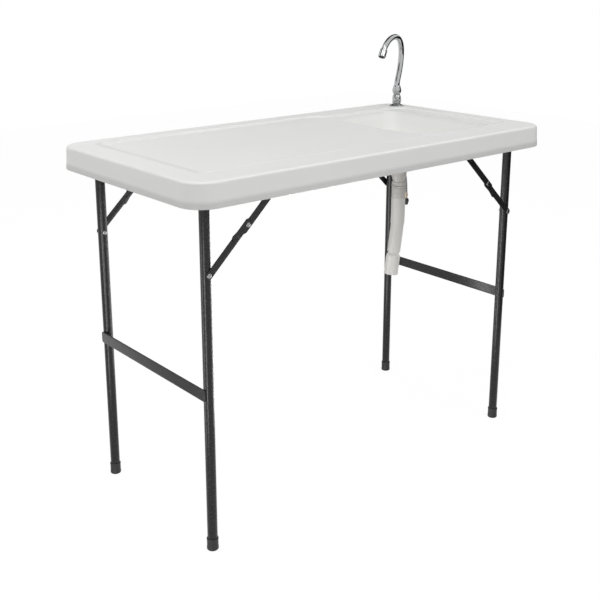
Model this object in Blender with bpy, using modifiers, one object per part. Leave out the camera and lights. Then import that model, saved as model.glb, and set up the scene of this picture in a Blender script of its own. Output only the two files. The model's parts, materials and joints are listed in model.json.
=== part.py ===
"""Folding fish cleaning table: a moulded worktop with a sink bowl, a gooseneck
tap, a drain with a flexible hose, and two steel leg frames that fold flat.
Metres. +X points to the sink end, +Y to the tap side, +Z up. The origin is on
the floor under the middle of the worktop. Run it in Blender 4.5.
"""

import math

import bmesh
import bpy
from mathutils import Matrix, Vector

# Clearances between neighbouring pieces
GAP = 0.0003
HOLE_PLAY = 0.0003
SINK = 0.0002  # how deep a head or rib reaches into the piece it is joined to

# Worktop
TOP_LENGTH = 1.220
TOP_WIDTH = 0.620
TOP_HEIGHT = 0.930
TOP_CORNER_R = 0.060
TOP_EDGE_R = 0.007
SKIRT_DEPTH = 0.060
SKIRT_WALL = 0.010
SKIRT_FLARE = 0.004
DECK_THICKNESS = 0.018

# Recessed work surface, drawn as one outline with the sink's ledge
RECESS_DEPTH = 0.0045
RECESS_BEVEL = 0.003
LEFT_MARGIN = 0.080
FRONT_MARGIN = 0.093
BACK_MARGIN = 0.060
RIGHT_MARGIN = 0.074
LEDGE_MARGIN = 0.0965
WORK_CORNER_R = 0.012
LEDGE_CORNER_R = 0.035
WORK_BACK_R = 0.028

# Sink bowl
BOWL_END_MARGIN = 0.120
BOWL_SIDE_MARGIN = 0.105
BOWL_LENGTH = 0.252
BOWL_BOW = 0.017
BOWL_CORNER_R = 0.050
BOWL_LEFT_CORNER_R = 0.022
BOWL_DEPTH = 0.0905
BOWL_WALL = 0.0035

# Drain under the bowl
DRAIN_FROM_BOWL_LEFT = 0.1005
DRAIN_Y = 0.008
DRAIN_SEAT_R = 0.0345
DRAIN_TAIL_R = 0.0220
DRAIN_TAIL_WALL = 0.0024
DRAIN_TAIL_LENGTH = 0.040
DRAIN_FLANGE_R = 0.0325
DRAIN_FLANGE_H = 0.0025
STRAINER_HOLE_R = 0.0030
STRAINER_HOLES = 8
GASKET_H = 0.003
LOCKNUT_H = 0.011
LOCKNUT_R = 0.0315
ADAPTER_LENGTH = 0.0912
ADAPTER_WALL = 0.0030
ADAPTER_END_R = 0.0184
ADAPTER_BORE_R = 0.0150
RING_R = 0.0206
COLLAR_LENGTH = 0.0304
HOSE_R = 0.0209
HOSE_BORE_R = 0.0165
HOSE_LENGTH = 0.171
HOSE_RIB_PITCH = 0.0042
HOSE_RIB_DEPTH = 0.0010
HOSE_BEND = 0.072
HOSE_LEAN = math.radians(8.6)
CUFF_R = 0.0214
CUFF_NECK_R = 0.0160
CUFF_BORE_R = 0.0128
CUFF_SPIGOT_R = 0.0147
CUFF_SPIGOT = 0.012
CUFF_LENGTH = 0.070

# Tap
TAP_FROM_END = 0.042
TAP_FROM_BACK = 0.065
TAP_FACE = math.radians(230.0)
FLANGE_R = 0.0250
FLANGE_H = 0.0060
BODY_R = 0.0143
BODY_H = 0.0292
BOSS_R = 0.0080
BOSS_REACH = 0.0185
NUT_R = 0.0152
NUT_H = 0.0307
SPOUT_R = 0.0092
SPOUT_FACE = math.radians(198.0)
SPOUT_CROWN_H = 0.2248
SPOUT_CROWN_REACH = 0.0245
SPOUT_TIP_H = 0.1810
SPOUT_TIP_REACH = 0.1070
SPOUT_MAST_H = 0.1560
SPOUT_STRAIGHT = 0.001
SPOUT_LEAVE_PULL = 0.020
SPOUT_LEAN = 0.0258
SPOUT_LEAN_ANGLE = math.radians(7.0)
SPOUT_RISE_PULL = 0.050
SPOUT_BACK_PULL = 0.0305
SPOUT_FRONT_PULL = 0.0355
SPOUT_FALL_ANGLE = math.radians(58.5)
SPOUT_FALL_PULL = 0.030
AERATOR_R = 0.0122
AERATOR_H = 0.0265
SHANK_R = 0.0100
SHANK_DROP = 0.050
WASHER_R = 0.0150
WASHER_H = 0.0020
TAP_NUT_AF = 0.0240
TAP_NUT_H = 0.0100
SUPPLY_R = 0.0068
SUPPLY_FACE = math.radians(-38.83)
SUPPLY_SHIFT = 0.038
SUPPLY_LENGTH = 0.2412
CONNECTOR_R = 0.0086
CONNECTOR_H = 0.023
COUPLER_R = 0.0150
COUPLER_H = 0.021

# Leg frames
LEG_FROM_END = 0.073
LEG_FROM_SIDE = 0.075
TUBE_R = 0.0125
TUBE_WALL = 0.0012
LEG_TOP = 0.0105
LEFT_PIVOT_DROP = 0.017
RIGHT_PIVOT_DROP = 0.047
CROSSBAR_Z = 0.4080
CROSSBAR_H = 0.0300
CROSSBAR_T = 0.0030
CROSSBAR_END = 0.0070
CAP_R = 0.0145
CAP_H = 0.031
CAP_FLOOR = 0.0042
SADDLE_FROM_LEG = 0.045
SADDLE_WIDTH = 0.030
SADDLE_T = 0.0025
SADDLE_FOOT = 0.018

# Folding braces
BRACE_DROP = 0.195
BRACE_REACH = 0.206
LINK_W = 0.0180
LINK_T = 0.0025
RIVET_R = 0.0030
RIVET_HEAD_R = 0.0060
RIVET_HEAD_H = 0.0024
LOCK_LENGTH = 0.0505
LOCK_W = 0.0155
LOCK_HOLE_R = 0.0016
LOCK_HOLE_X = 0.0035
LOCK_HOLE_Z = 0.0047
LOCK_DIMPLE_R = 0.0034
LOCK_DIMPLE_H = 0.0012
LOCK_DIMPLE_X = 0.0138
LOCK_DIMPLE_Z = 0.0061
BRACKET_W = 0.026
BRACKET_FOOT = 0.024

# Places that follow from the sizes above
UNDERSIDE = TOP_HEIGHT - DECK_THICKNESS
WORK_Z = TOP_HEIGHT - RECESS_DEPTH
BOWL_FLOOR = TOP_HEIGHT - BOWL_DEPTH
WORK_LEFT = LEFT_MARGIN - TOP_LENGTH / 2
WORK_FRONT = FRONT_MARGIN - TOP_WIDTH / 2
WORK_BACK = TOP_WIDTH / 2 - BACK_MARGIN
LEDGE_RIGHT = TOP_LENGTH / 2 - RIGHT_MARGIN
LEDGE_BACK = TOP_WIDTH / 2 - LEDGE_MARGIN
BOWL_RIGHT = TOP_LENGTH / 2 - BOWL_END_MARGIN
BOWL_LEFT = BOWL_RIGHT - BOWL_LENGTH
BOWL_HALF_WIDTH = TOP_WIDTH / 2 - BOWL_SIDE_MARGIN
DRAIN_X = BOWL_LEFT + DRAIN_FROM_BOWL_LEFT
TAP_X = TOP_LENGTH / 2 - TAP_FROM_END
TAP_Y = TOP_WIDTH / 2 - TAP_FROM_BACK
LEG_X = TOP_LENGTH / 2 - LEG_FROM_END
LEG_Y = TOP_WIDTH / 2 - LEG_FROM_SIDE
CROSSBAR_HALF = LEG_Y + CROSSBAR_END
SADDLE_Y = LEG_Y - SADDLE_FROM_LEG
LINK_Y = LEG_Y + TUBE_R + GAP + LINK_T / 2
UPPER_Y = LINK_Y + LINK_T + RIVET_HEAD_H + GAP
CHEEK_Y = UPPER_Y + LINK_T + GAP

parts = None
guides = None


def new_collection(name):
    made = bpy.data.collections.new(name)
    bpy.context.scene.collection.children.link(made)
    return made


def material(name, colour, roughness, metallic=0.0):
    mat = bpy.data.materials.new(name)
    mat.use_nodes = True
    shader = mat.node_tree.nodes["Principled BSDF"]
    shader.inputs["Base Color"].default_value = (*colour, 1.0)
    shader.inputs["Roughness"].default_value = roughness
    shader.inputs["Metallic"].default_value = metallic
    mat.diffuse_color = (*colour, 1.0)
    return mat


def baked(obj):
    """The object's evaluated shape as a plain welded mesh."""
    graph = bpy.context.evaluated_depsgraph_get()
    mesh = bpy.data.meshes.new_from_object(obj.evaluated_get(graph))
    bm = bmesh.new()
    bm.from_mesh(mesh)
    bmesh.ops.remove_doubles(bm, verts=bm.verts, dist=0.00001)
    bmesh.ops.recalc_face_normals(bm, faces=bm.faces)
    bm.to_mesh(mesh)
    bm.free()
    return mesh


def replace_with_mesh(obj):
    mesh = baked(obj)
    made = bpy.data.objects.new(obj.name, mesh)
    made.matrix_world = obj.matrix_world
    name = obj.name
    bpy.data.objects.remove(obj)
    made.name = name
    return made


def temporary(obj):
    bpy.context.scene.collection.objects.link(obj)
    return obj


def turned(name, profile, steps=24, closed=False):
    """A profile of (radius, height) turned about Z."""
    mesh = bpy.data.meshes.new(name)
    count = len(profile)
    edges = [(i, i + 1) for i in range(count - 1)]
    if closed:
        edges.append((count - 1, 0))
    mesh.from_pydata([(r, 0, z) for r, z in profile], edges, [])
    obj = temporary(bpy.data.objects.new(name, mesh))
    screw = obj.modifiers.new("Screw", "SCREW")
    screw.steps = steps
    screw.render_steps = steps
    screw.use_merge_vertices = True
    screw.merge_threshold = 0.00001
    return replace_with_mesh(obj)


def ring_tube(name, outer, inner, bottom, top, steps=24):
    return turned(name, [(inner, bottom), (inner, top), (outer, top), (outer, bottom)], steps, closed=True)


def rod(name, radius, bottom, top, steps=20):
    return turned(name, [(0, top), (radius, top), (radius, bottom), (0, bottom)], steps)


def plate(name, outline, thickness, holes=()):
    """An outline in the XZ plane with round holes (x, z, radius), thick along Y."""
    curve = bpy.data.curves.new(name, "CURVE")
    curve.dimensions = "2D"
    curve.fill_mode = "BOTH"
    curve.extrude = thickness / 2
    loops = [outline] + [circle(x, z, r, 12) for x, z, r in holes]
    for loop in loops:
        spline = curve.splines.new("POLY")
        spline.points.add(len(loop) - 1)
        for point, (x, z) in zip(spline.points, loop):
            point.co = (x, z, 0, 1)
        spline.use_cyclic_u = True
    obj = replace_with_mesh(temporary(bpy.data.objects.new(name, curve)))
    obj.data.transform(Matrix.Rotation(math.radians(90), 4, "X"))
    return obj


def box(name, size, centre, bevel=0.0, segments=2):
    bm = bmesh.new()
    bmesh.ops.create_cube(bm, size=1.0)
    bmesh.ops.scale(bm, vec=size, verts=bm.verts)
    bmesh.ops.translate(bm, vec=centre, verts=bm.verts)
    if bevel:
        bmesh.ops.bevel(bm, geom=list(bm.edges), offset=bevel, segments=segments, affect="EDGES")
    mesh = bpy.data.meshes.new(name)
    bm.to_mesh(mesh)
    bm.free()
    return bpy.data.objects.new(name, mesh)


def loft(name, rings):
    """A closed solid through rings of points that have the same count."""
    bm = bmesh.new()
    rows = [[bm.verts.new(p) for p in ring] for ring in rings]
    count = len(rows[0])
    for low, high in zip(rows, rows[1:]):
        for i in range(count):
            j = (i + 1) % count
            bm.faces.new((low[i], low[j], high[j], high[i]))
    bm.faces.new(list(reversed(rows[0])))
    bm.faces.new(rows[-1])
    bmesh.ops.recalc_face_normals(bm, faces=bm.faces)
    mesh = bpy.data.meshes.new(name)
    bm.to_mesh(mesh)
    bm.free()
    return bpy.data.objects.new(name, mesh)


def swept(name, points, radius, resolution=4, radii=None):
    """A round bar along a polyline, or one whose radius changes from point to point."""
    curve = bpy.data.curves.new(name, "CURVE")
    curve.dimensions = "3D"
    curve.bevel_depth = radius
    curve.bevel_resolution = resolution
    curve.use_fill_caps = True
    spline = curve.splines.new("POLY")
    spline.points.add(len(points) - 1)
    for i, (point, co) in enumerate(zip(spline.points, points)):
        point.co = (*co, 1)
        point.radius = radii[i] / radius if radii else 1.0
    return replace_with_mesh(temporary(bpy.data.objects.new(name, curve)))


def circle(x, y, r, count):
    return arc(x, y, r, 0, 360 - 360 / count, count - 1)


def arc(x, y, r, start, stop, count):
    angles = [math.radians(start + (stop - start) * i / count) for i in range(count + 1)]
    return [(x + r * math.cos(a), y + r * math.sin(a)) for a in angles]


def bezier(p0, p1, p2, p3, count):
    """Points of a cubic curve, without its first one."""
    out = []
    for i in range(1, count + 1):
        t = i / count
        s = 1 - t
        ends = Vector(p0) * s**3 + Vector(p3) * t**3
        pulls = Vector(p1) * 3 * s * s * t + Vector(p2) * 3 * s * t * t
        out.append(ends + pulls)
    return out


def inset_loop(loop, distance):
    """The loop moved inwards by a distance; it runs counter-clockwise."""
    out = []
    count = len(loop)
    for i in range(count):
        before = Vector(loop[i - 1])
        here = Vector(loop[i])
        after = Vector(loop[(i + 1) % count])
        first = (here - before).normalized()
        second = (after - here).normalized()
        normal_a = Vector((-first.y, first.x))
        normal_b = Vector((-second.y, second.x))
        mitre = (normal_a + normal_b).normalized()
        out.append(here + mitre * distance / max(0.3, mitre.dot(normal_a)))
    return out


def at_height(loop, z):
    return [(x, y, z) for x, y in loop]


def rounded_rectangle(half_x, half_y, r, count=7):
    loop = []
    for sx, sy, start in ((1, 1, 0), (-1, 1, 90), (-1, -1, 180), (1, -1, 270)):
        loop += arc(sx * (half_x - r), sy * (half_y - r), r, start, start + 90, count)
    return loop


def boolean(obj, other, operation):
    """Cuts or joins, and keeps the other shape as a hidden guide."""
    if other.name not in guides.objects:
        for held in list(other.users_collection):
            held.objects.unlink(other)
        guides.objects.link(other)
    other.hide_render = True
    other.display_type = "WIRE"
    if not obj.users_collection:
        temporary(obj)
    mod = obj.modifiers.new(operation.title(), "BOOLEAN")
    mod.operation = operation
    mod.solver = "EXACT"
    mod.object = other


def cut(obj, other):
    boolean(obj, other, "DIFFERENCE")


def join(obj, other):
    boolean(obj, other, "UNION")


def place(obj, name, mat, location=(0, 0, 0), sharp=35.0):
    """Names a finished piece, bakes its Booleans and gives it its place and material."""
    if obj.modifiers:
        if not obj.users_collection:
            temporary(obj)
        bpy.context.view_layer.update()
        obj = replace_with_mesh(obj)
    for held in list(obj.users_collection):
        held.objects.unlink(obj)
    parts.objects.link(obj)
    obj.name = name
    obj.data.name = name
    obj.data.materials.clear()
    obj.data.materials.append(mat)
    obj.location = location
    obj.data.shade_smooth()
    obj.data.set_sharp_from_angle(angle=math.radians(sharp))
    return obj


def turn_mesh(obj, angle, axis):
    obj.data.transform(Matrix.Rotation(angle, 4, axis))
    return obj


def move_mesh(obj, offset):
    obj.data.transform(Matrix.Translation(offset))
    return obj


# Worktop


def work_outline():
    """Counter-clockwise edge of the recess: work surface and sink ledge in one."""
    r = WORK_CORNER_R
    loop = arc(WORK_LEFT + r, WORK_FRONT + r, r, 180, 270, 4)
    r = LEDGE_CORNER_R
    loop += arc(LEDGE_RIGHT - r, WORK_FRONT + r, r, 270, 360, 6)
    loop += arc(LEDGE_RIGHT - r, LEDGE_BACK - r, r, 0, 90, 6)
    shoulder = Vector((BOWL_LEFT + 0.004, LEDGE_BACK))
    bend = Vector((BOWL_LEFT - 0.054, WORK_BACK))
    loop += [shoulder]
    loop += bezier(shoulder, shoulder + Vector((-0.016, 0)), bend + Vector((WORK_BACK_R, 0)), bend, 7)
    r = WORK_CORNER_R + 0.004
    loop += arc(WORK_LEFT + r, WORK_BACK - r, r, 90, 180, 4)
    return [tuple(p) for p in loop]


def bowl_ring(inset, z):
    """One ring of the bowl, whose left side bows out."""
    left = BOWL_LEFT + inset
    right = BOWL_RIGHT - inset
    half = BOWL_HALF_WIDTH - inset
    r_right = BOWL_CORNER_R
    r_left = BOWL_LEFT_CORNER_R + max(inset, 0) * 0.8
    loop = arc(right - r_right, half - r_right, r_right, 0, 90, 6)
    loop += arc(left + r_left, half - r_left, r_left, 90, 180, 4)
    rows = 8
    for i in range(1, rows):
        loop.append((left, (half - r_left) * (1 - 2 * i / rows)))
    loop += arc(left + r_left, -half + r_left, r_left, 180, 270, 4)
    loop += arc(right - r_right, -half + r_right, r_right, 270, 360, 6)
    middle = (BOWL_LEFT + BOWL_RIGHT) / 2
    out = []
    for x, y in loop:
        weight = min(1.0, max(0.0, (middle - x) / (middle - left)))
        out.append((x - BOWL_BOW * weight * max(0.0, 1 - (y / half) ** 2), y, z))
    return out


def drain_ring(like, radius, z):
    """A circle round the drain with one point for each point of another ring."""
    out = []
    for x, y, _ in like:
        away = Vector((x - DRAIN_X, y - DRAIN_Y)).normalized() * radius
        out.append((DRAIN_X + away.x, DRAIN_Y + away.y, z))
    return out


def bowl_shape(name, wall, start_z):
    """The bowl's inner surface, or its outer surface where wall is above zero."""
    rim = WORK_Z
    depth = rim - BOWL_FLOOR
    steps = ((0.003, 0.24), (0.0085, 0.62), (0.0145, 0.84), (0.022, 0.935), (0.042, 0.975))
    rings = [bowl_ring(-wall - 0.0005, start_z)]
    for inset, share in steps:
        rings.append(bowl_ring(inset - wall, rim - depth * share - wall * share))
    rings.append(drain_ring(rings[-1], DRAIN_SEAT_R, BOWL_FLOOR - wall))
    return loft(name, rings)


def build_worktop(mat):
    half_x = TOP_LENGTH / 2
    half_y = TOP_WIDTH / 2
    base = TOP_HEIGHT - SKIRT_DEPTH
    lip = 0.0025

    def ring(grow, z):
        return at_height(rounded_rectangle(half_x + grow, half_y + grow, TOP_CORNER_R + grow), z)

    def flare(z):
        return SKIRT_FLARE * (TOP_HEIGHT - z) / SKIRT_DEPTH

    shoulder = TOP_HEIGHT - TOP_EDGE_R
    rings = [ring(SKIRT_FLARE - lip, base), ring(SKIRT_FLARE - lip * 0.3, base + lip * 0.3)]
    rings.append(ring(flare(base + lip), base + lip))
    for angle in (0, 22.5, 45, 67.5, 90):
        a = math.radians(angle)
        inward = TOP_EDGE_R * (1 - math.cos(a))
        rings.append(ring(flare(shoulder) - inward, shoulder + TOP_EDGE_R * math.sin(a)))
    top = loft("worktop", rings)

    hollow = loft(
        "underside_hollow",
        [
            ring(SKIRT_FLARE - SKIRT_WALL, base - 0.010),
            ring(SKIRT_FLARE - SKIRT_WALL, base),
            ring(-SKIRT_WALL - 0.0006, UNDERSIDE - 0.006),
            ring(-SKIRT_WALL - 0.0045, UNDERSIDE),
        ],
    )
    cut(top, hollow)
    join(top, bowl_shape("bowl_outside", BOWL_WALL, (UNDERSIDE + WORK_Z) / 2))
    cut(top, bowl_shape("bowl_inside", 0.0, TOP_HEIGHT + 0.010))
    outline = work_outline()
    rise = 0.002
    recess = loft(
        "work_recess",
        [
            at_height(inset_loop(outline, RECESS_BEVEL), WORK_Z),
            at_height(inset_loop(outline, -RECESS_BEVEL * rise / RECESS_DEPTH), TOP_HEIGHT + rise),
        ],
    )
    cut(top, recess)
    hole = rod("drain_hole", DRAIN_TAIL_R + HOLE_PLAY, BOWL_FLOOR - 0.02, BOWL_FLOOR + 0.02, 24)
    cut(top, move_mesh(hole, (DRAIN_X, DRAIN_Y, 0)))
    hole = rod("tap_hole", SHANK_R + HOLE_PLAY, UNDERSIDE - 0.01, TOP_HEIGHT + 0.01, 24)
    cut(top, move_mesh(hole, (TAP_X, TAP_Y, 0)))
    place(top, "tabletop", mat, sharp=30.0)


# Drain


def build_drain(plastic, hose_mat, seal):
    floor = BOWL_FLOOR
    under = floor - BOWL_WALL
    tail_in = DRAIN_TAIL_R - DRAIN_TAIL_WALL
    tail_end = floor - DRAIN_TAIL_LENGTH
    here = (DRAIN_X, DRAIN_Y, 0)

    seat = floor + GAP
    rim = seat + DRAIN_FLANGE_H
    sieve = floor - 0.0030
    flange = turned(
        "drain_flange",
        [
            (0, sieve + 0.0025),
            (tail_in - 0.0030, sieve + 0.0025),
            (tail_in + 0.0005, rim),
            (DRAIN_FLANGE_R - 0.003, rim),
            (DRAIN_FLANGE_R, seat),
            (DRAIN_TAIL_R, seat),
            (DRAIN_TAIL_R, tail_end),
            (tail_in, tail_end),
            (tail_in, sieve),
            (0, sieve),
        ],
    )
    reach = tail_in * 0.56
    for i in range(STRAINER_HOLES):
        a = math.tau * i / STRAINER_HOLES
        hole = rod("strainer_hole", STRAINER_HOLE_R, sieve - 0.01, rim + 0.01, 8)
        cut(flange, move_mesh(hole, (reach * math.cos(a), reach * math.sin(a), 0)))
    hole = rod("strainer_hole", STRAINER_HOLE_R, sieve - 0.01, rim + 0.01, 8)
    cut(flange, hole)
    place(flange, "drain_flange", plastic, here)

    bore = DRAIN_TAIL_R + GAP
    top = under - GAP
    place(ring_tube("gasket", LOCKNUT_R, bore, top - GASKET_H, top), "drain_gasket", seal, here)

    top -= GASKET_H + GAP
    nut = ring_tube("nut", LOCKNUT_R, bore, top - LOCKNUT_H, top, 24)
    for i in range(6):
        a = math.tau * i / 6
        lug = box("lug", (0.010, 0.006, LOCKNUT_H), (LOCKNUT_R, 0, top - LOCKNUT_H / 2))
        join(nut, turn_mesh(lug, a, "Z"))
    place(nut, "drain_locknut", plastic, here)

    top -= LOCKNUT_H + GAP
    low = top - ADAPTER_LENGTH
    socket_r = bore + ADAPTER_WALL
    shelf = tail_end - GAP
    place(
        turned(
            "adapter",
            [
                (ADAPTER_BORE_R, low),
                (ADAPTER_BORE_R, shelf - 0.012),
                (bore - 0.0012, shelf),
                (bore, shelf),
                (bore, top),
                (socket_r, top),
                (socket_r, shelf - 0.004),
                (socket_r - 0.0020, shelf - 0.008),
                (ADAPTER_END_R, low + 0.0190),
                (ADAPTER_END_R - 0.0011, low + 0.0140),
                (ADAPTER_END_R - 0.0011, low + 0.0112),
                (RING_R, low + 0.0096),
                (RING_R, low + 0.0036),
                (ADAPTER_END_R, low + 0.0022),
                (ADAPTER_END_R, low),
            ],
            closed=True,
        ),
        "drain_adapter",
        plastic,
        here,
    )

    top = low - GAP
    low = top - COLLAR_LENGTH
    collar = turned(
        "collar",
        [
            (ADAPTER_BORE_R, low),
            (ADAPTER_BORE_R, top),
            (HOSE_R - 0.0018, top),
            (HOSE_R - 0.0004, top - 0.0012),
            (HOSE_R - 0.0004, low + 0.0012),
            (HOSE_R - 0.0012, low),
        ],
        closed=True,
    )
    place(collar, "hose_collar", plastic, here)

    start = low - GAP
    path = hose_path(start)
    count = int(HOSE_LENGTH / HOSE_RIB_PITCH)
    stations = []
    radii = []
    for i in range(count):
        stations += [i * HOSE_RIB_PITCH, (i + 0.5) * HOSE_RIB_PITCH]
        radii += [HOSE_R - HOSE_RIB_DEPTH, HOSE_R]
    stations.append(HOSE_LENGTH)
    radii.append(HOSE_R - HOSE_RIB_DEPTH)
    stations[0] = 0.0
    hose = swept("drain_hose", [path(s)[0] for s in stations], HOSE_R, 2, radii)
    bore_stations = [-0.01, 0.0] + [HOSE_LENGTH * i / 16 for i in range(1, 17)] + [HOSE_LENGTH + 0.01]
    bore = swept("hose_bore", [path(s)[0] for s in bore_stations], HOSE_BORE_R, 2)
    cut(hose, bore)
    place(hose, "drain_hose", hose_mat, here)

    end, heading = path(HOSE_LENGTH)
    cuff = turned(
        "cuff",
        [
            (CUFF_BORE_R, -CUFF_LENGTH),
            (CUFF_BORE_R, CUFF_SPIGOT),
            (CUFF_SPIGOT_R, CUFF_SPIGOT),
            (CUFF_SPIGOT_R, 0),
            (CUFF_NECK_R, 0),
            (CUFF_NECK_R, -0.0035),
            (CUFF_R - 0.0010, -0.0110),
            (CUFF_R, -CUFF_LENGTH + 0.004),
            (CUFF_R - 0.0006, -CUFF_LENGTH),
        ],
        closed=True,
    )
    turn = Vector((0, 0, -1)).rotation_difference(heading).to_matrix().to_4x4()
    cuff.data.transform(Matrix.Translation(end + heading * GAP) @ turn)
    place(cuff, "drain_hose_cuff", hose_mat, here)


def hose_path(start):
    """Centreline of the drain hose by distance: it leaves the collar straight and eases into its lean."""
    straight = 2 * HOSE_R
    steps = 24

    def heading(s):
        share = min(1.0, max(0.0, (s - straight) / HOSE_BEND))
        a = HOSE_LEAN * share * share * (3 - 2 * share)
        return Vector((-math.sin(a), 0, -math.cos(a)))

    def at(s):
        point = Vector((0, 0, start - min(s, straight)))
        run = max(0.0, s - straight)
        for i in range(steps):
            point += heading(straight + run * (i + 0.5) / steps) * run / steps
        return point, heading(s)

    return at


# Tap


def build_tap(chrome, brass, black, rubber, supply):
    here = (TAP_X, TAP_Y, 0)
    low = TOP_HEIGHT + GAP
    bore = SHANK_R + GAP
    flange = turned(
        "flange",
        [
            (bore, low),
            (bore, low + FLANGE_H - GAP),
            (BODY_R + 0.0005, low + FLANGE_H - GAP),
            (BODY_R + 0.003, low + FLANGE_H - 0.0012),
            (FLANGE_R - 0.002, low + 0.0024),
            (FLANGE_R, low + 0.0012),
            (FLANGE_R, low),
        ],
        28,
        closed=True,
    )
    place(flange, "faucet_escutcheon", chrome, here)

    base = low + FLANGE_H
    crown = base + BODY_H
    body = turned(
        "body",
        [
            (0, crown),
            (BODY_R - 0.0030, crown),
            (BODY_R - 0.0016, crown - 0.0016),
            (BODY_R - 0.0006, crown - 0.005),
            (BODY_R, base + 0.012),
            (BODY_R - 0.0004, base + 0.004),
            (BODY_R - 0.0015, base),
            (0, base),
        ],
        28,
    )
    boss_z = base + 0.0145
    boss = rod("boss", BOSS_R, 0.004, BOSS_REACH, 20)
    boss = turn_mesh(turn_mesh(boss, math.radians(90), "Y"), TAP_FACE, "Z")
    join(body, move_mesh(boss, (0, 0, boss_z)))
    place(body, "faucet_body", chrome, here)

    out = Vector((math.cos(TAP_FACE), math.sin(TAP_FACE), 0))
    hub = turned(
        "hub",
        [(0, 0.0105), (0.0052, 0.0105), (0.0066, 0.0092), (0.0074, 0.0015), (0.0070, 0), (0, 0)],
        20,
    )
    bar = box("bar", (0.0250, 0.0068, 0.0056), (0, 0, 0.0064), 0.0018)
    join(hub, bar)
    bpy.context.view_layer.update()
    knob = replace_with_mesh(hub)
    upright = Matrix.Rotation(math.radians(90), 4, "X")
    knob.data.transform(Matrix.Rotation(TAP_FACE + math.radians(90), 4, "Z") @ upright)
    seat = Vector(here) + Vector((0, 0, boss_z)) + out * (BOSS_REACH + GAP)
    place(knob, "faucet_handle", chrome, seat)

    nut_low = crown + GAP
    nut_top = nut_low + NUT_H
    mouth = SPOUT_R + 0.0004
    socket = nut_top - 0.0165
    nut = turned(
        "nut",
        [
            (0, socket),
            (mouth, socket),
            (mouth, nut_top),
            (mouth + 0.0012, nut_top),
            (mouth + 0.0022, nut_top - 0.0025),
            (NUT_R - 0.0022, nut_top - 0.0075),
            (NUT_R, nut_low + NUT_H * 0.50),
            (NUT_R - 0.0010, nut_low + NUT_H * 0.28),
            (NUT_R - 0.0040, nut_low + 0.0020),
            (NUT_R - 0.0044, nut_low),
            (0, nut_low),
        ],
        28,
    )
    place(nut, "faucet_swivel_nut", chrome, here)

    path = spout_path(socket + GAP, nut_top)
    spout = swept("spout", path, SPOUT_R, 3)
    place(spout, "faucet_spout", chrome, here)

    end = path[-1]
    heading = (path[-1] - path[-2]).normalized()
    turn = Vector((0, 0, -1)).rotation_difference(heading).to_matrix().to_4x4()
    socket_depth = 0.010
    housing = turned(
        "housing",
        [
            (AERATOR_R - 0.0022, -AERATOR_H),
            (AERATOR_R - 0.0022, -socket_depth - 0.0050),
            (SPOUT_R - 0.0020, -socket_depth - 0.0050),
            (SPOUT_R - 0.0020, -socket_depth),
            (SPOUT_R + GAP + 0.0001, -socket_depth),
            (SPOUT_R + GAP + 0.0001, 0),
            (AERATOR_R - 0.0012, 0),
            (AERATOR_R - 0.0002, -0.0012),
            (AERATOR_R - 0.0002, -0.0050),
            (AERATOR_R, -0.0060),
            (AERATOR_R, -AERATOR_H + 0.001),
            (AERATOR_R - 0.001, -AERATOR_H),
        ],
        20,
        closed=True,
    )
    housing.data.transform(Matrix.Translation(end - heading * (socket_depth - GAP)) @ turn)
    place(housing, "aerator_housing", chrome, here)
    insert = rod("insert", AERATOR_R - 0.0022 - GAP, -AERATOR_H + 0.0015, -socket_depth - 0.0050 - GAP, 24)
    for i in range(7):
        a = math.tau * i / 6
        away = 0.0 if i == 6 else 0.0052
        hole = rod("jet", 0.0016, -AERATOR_H, -AERATOR_H + 0.005, 8)
        cut(insert, move_mesh(hole, (away * math.cos(a), away * math.sin(a), 0)))
    bpy.context.view_layer.update()
    insert = replace_with_mesh(insert)
    insert.data.transform(Matrix.Translation(end - heading * (socket_depth - GAP)) @ turn)
    place(insert, "aerator_insert", black, here)

    shank_low = TOP_HEIGHT - SHANK_DROP
    place(rod("shank", SHANK_R, shank_low, base - GAP, 24), "faucet_shank", brass, here)
    top = UNDERSIDE - GAP
    place(ring_tube("washer", WASHER_R, bore, top - WASHER_H, top, 24), "shank_washer", rubber, here)
    top -= WASHER_H + GAP
    locknut = ring_tube("locknut", TAP_NUT_AF / 2 / math.cos(math.pi / 6), bore, top - TAP_NUT_H, top, 6)
    bore_cut = rod("bore", bore, top - TAP_NUT_H - 0.01, top + 0.01, 24)
    cut(locknut, bore_cut)
    place(locknut, "shank_locknut", brass, here)

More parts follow.
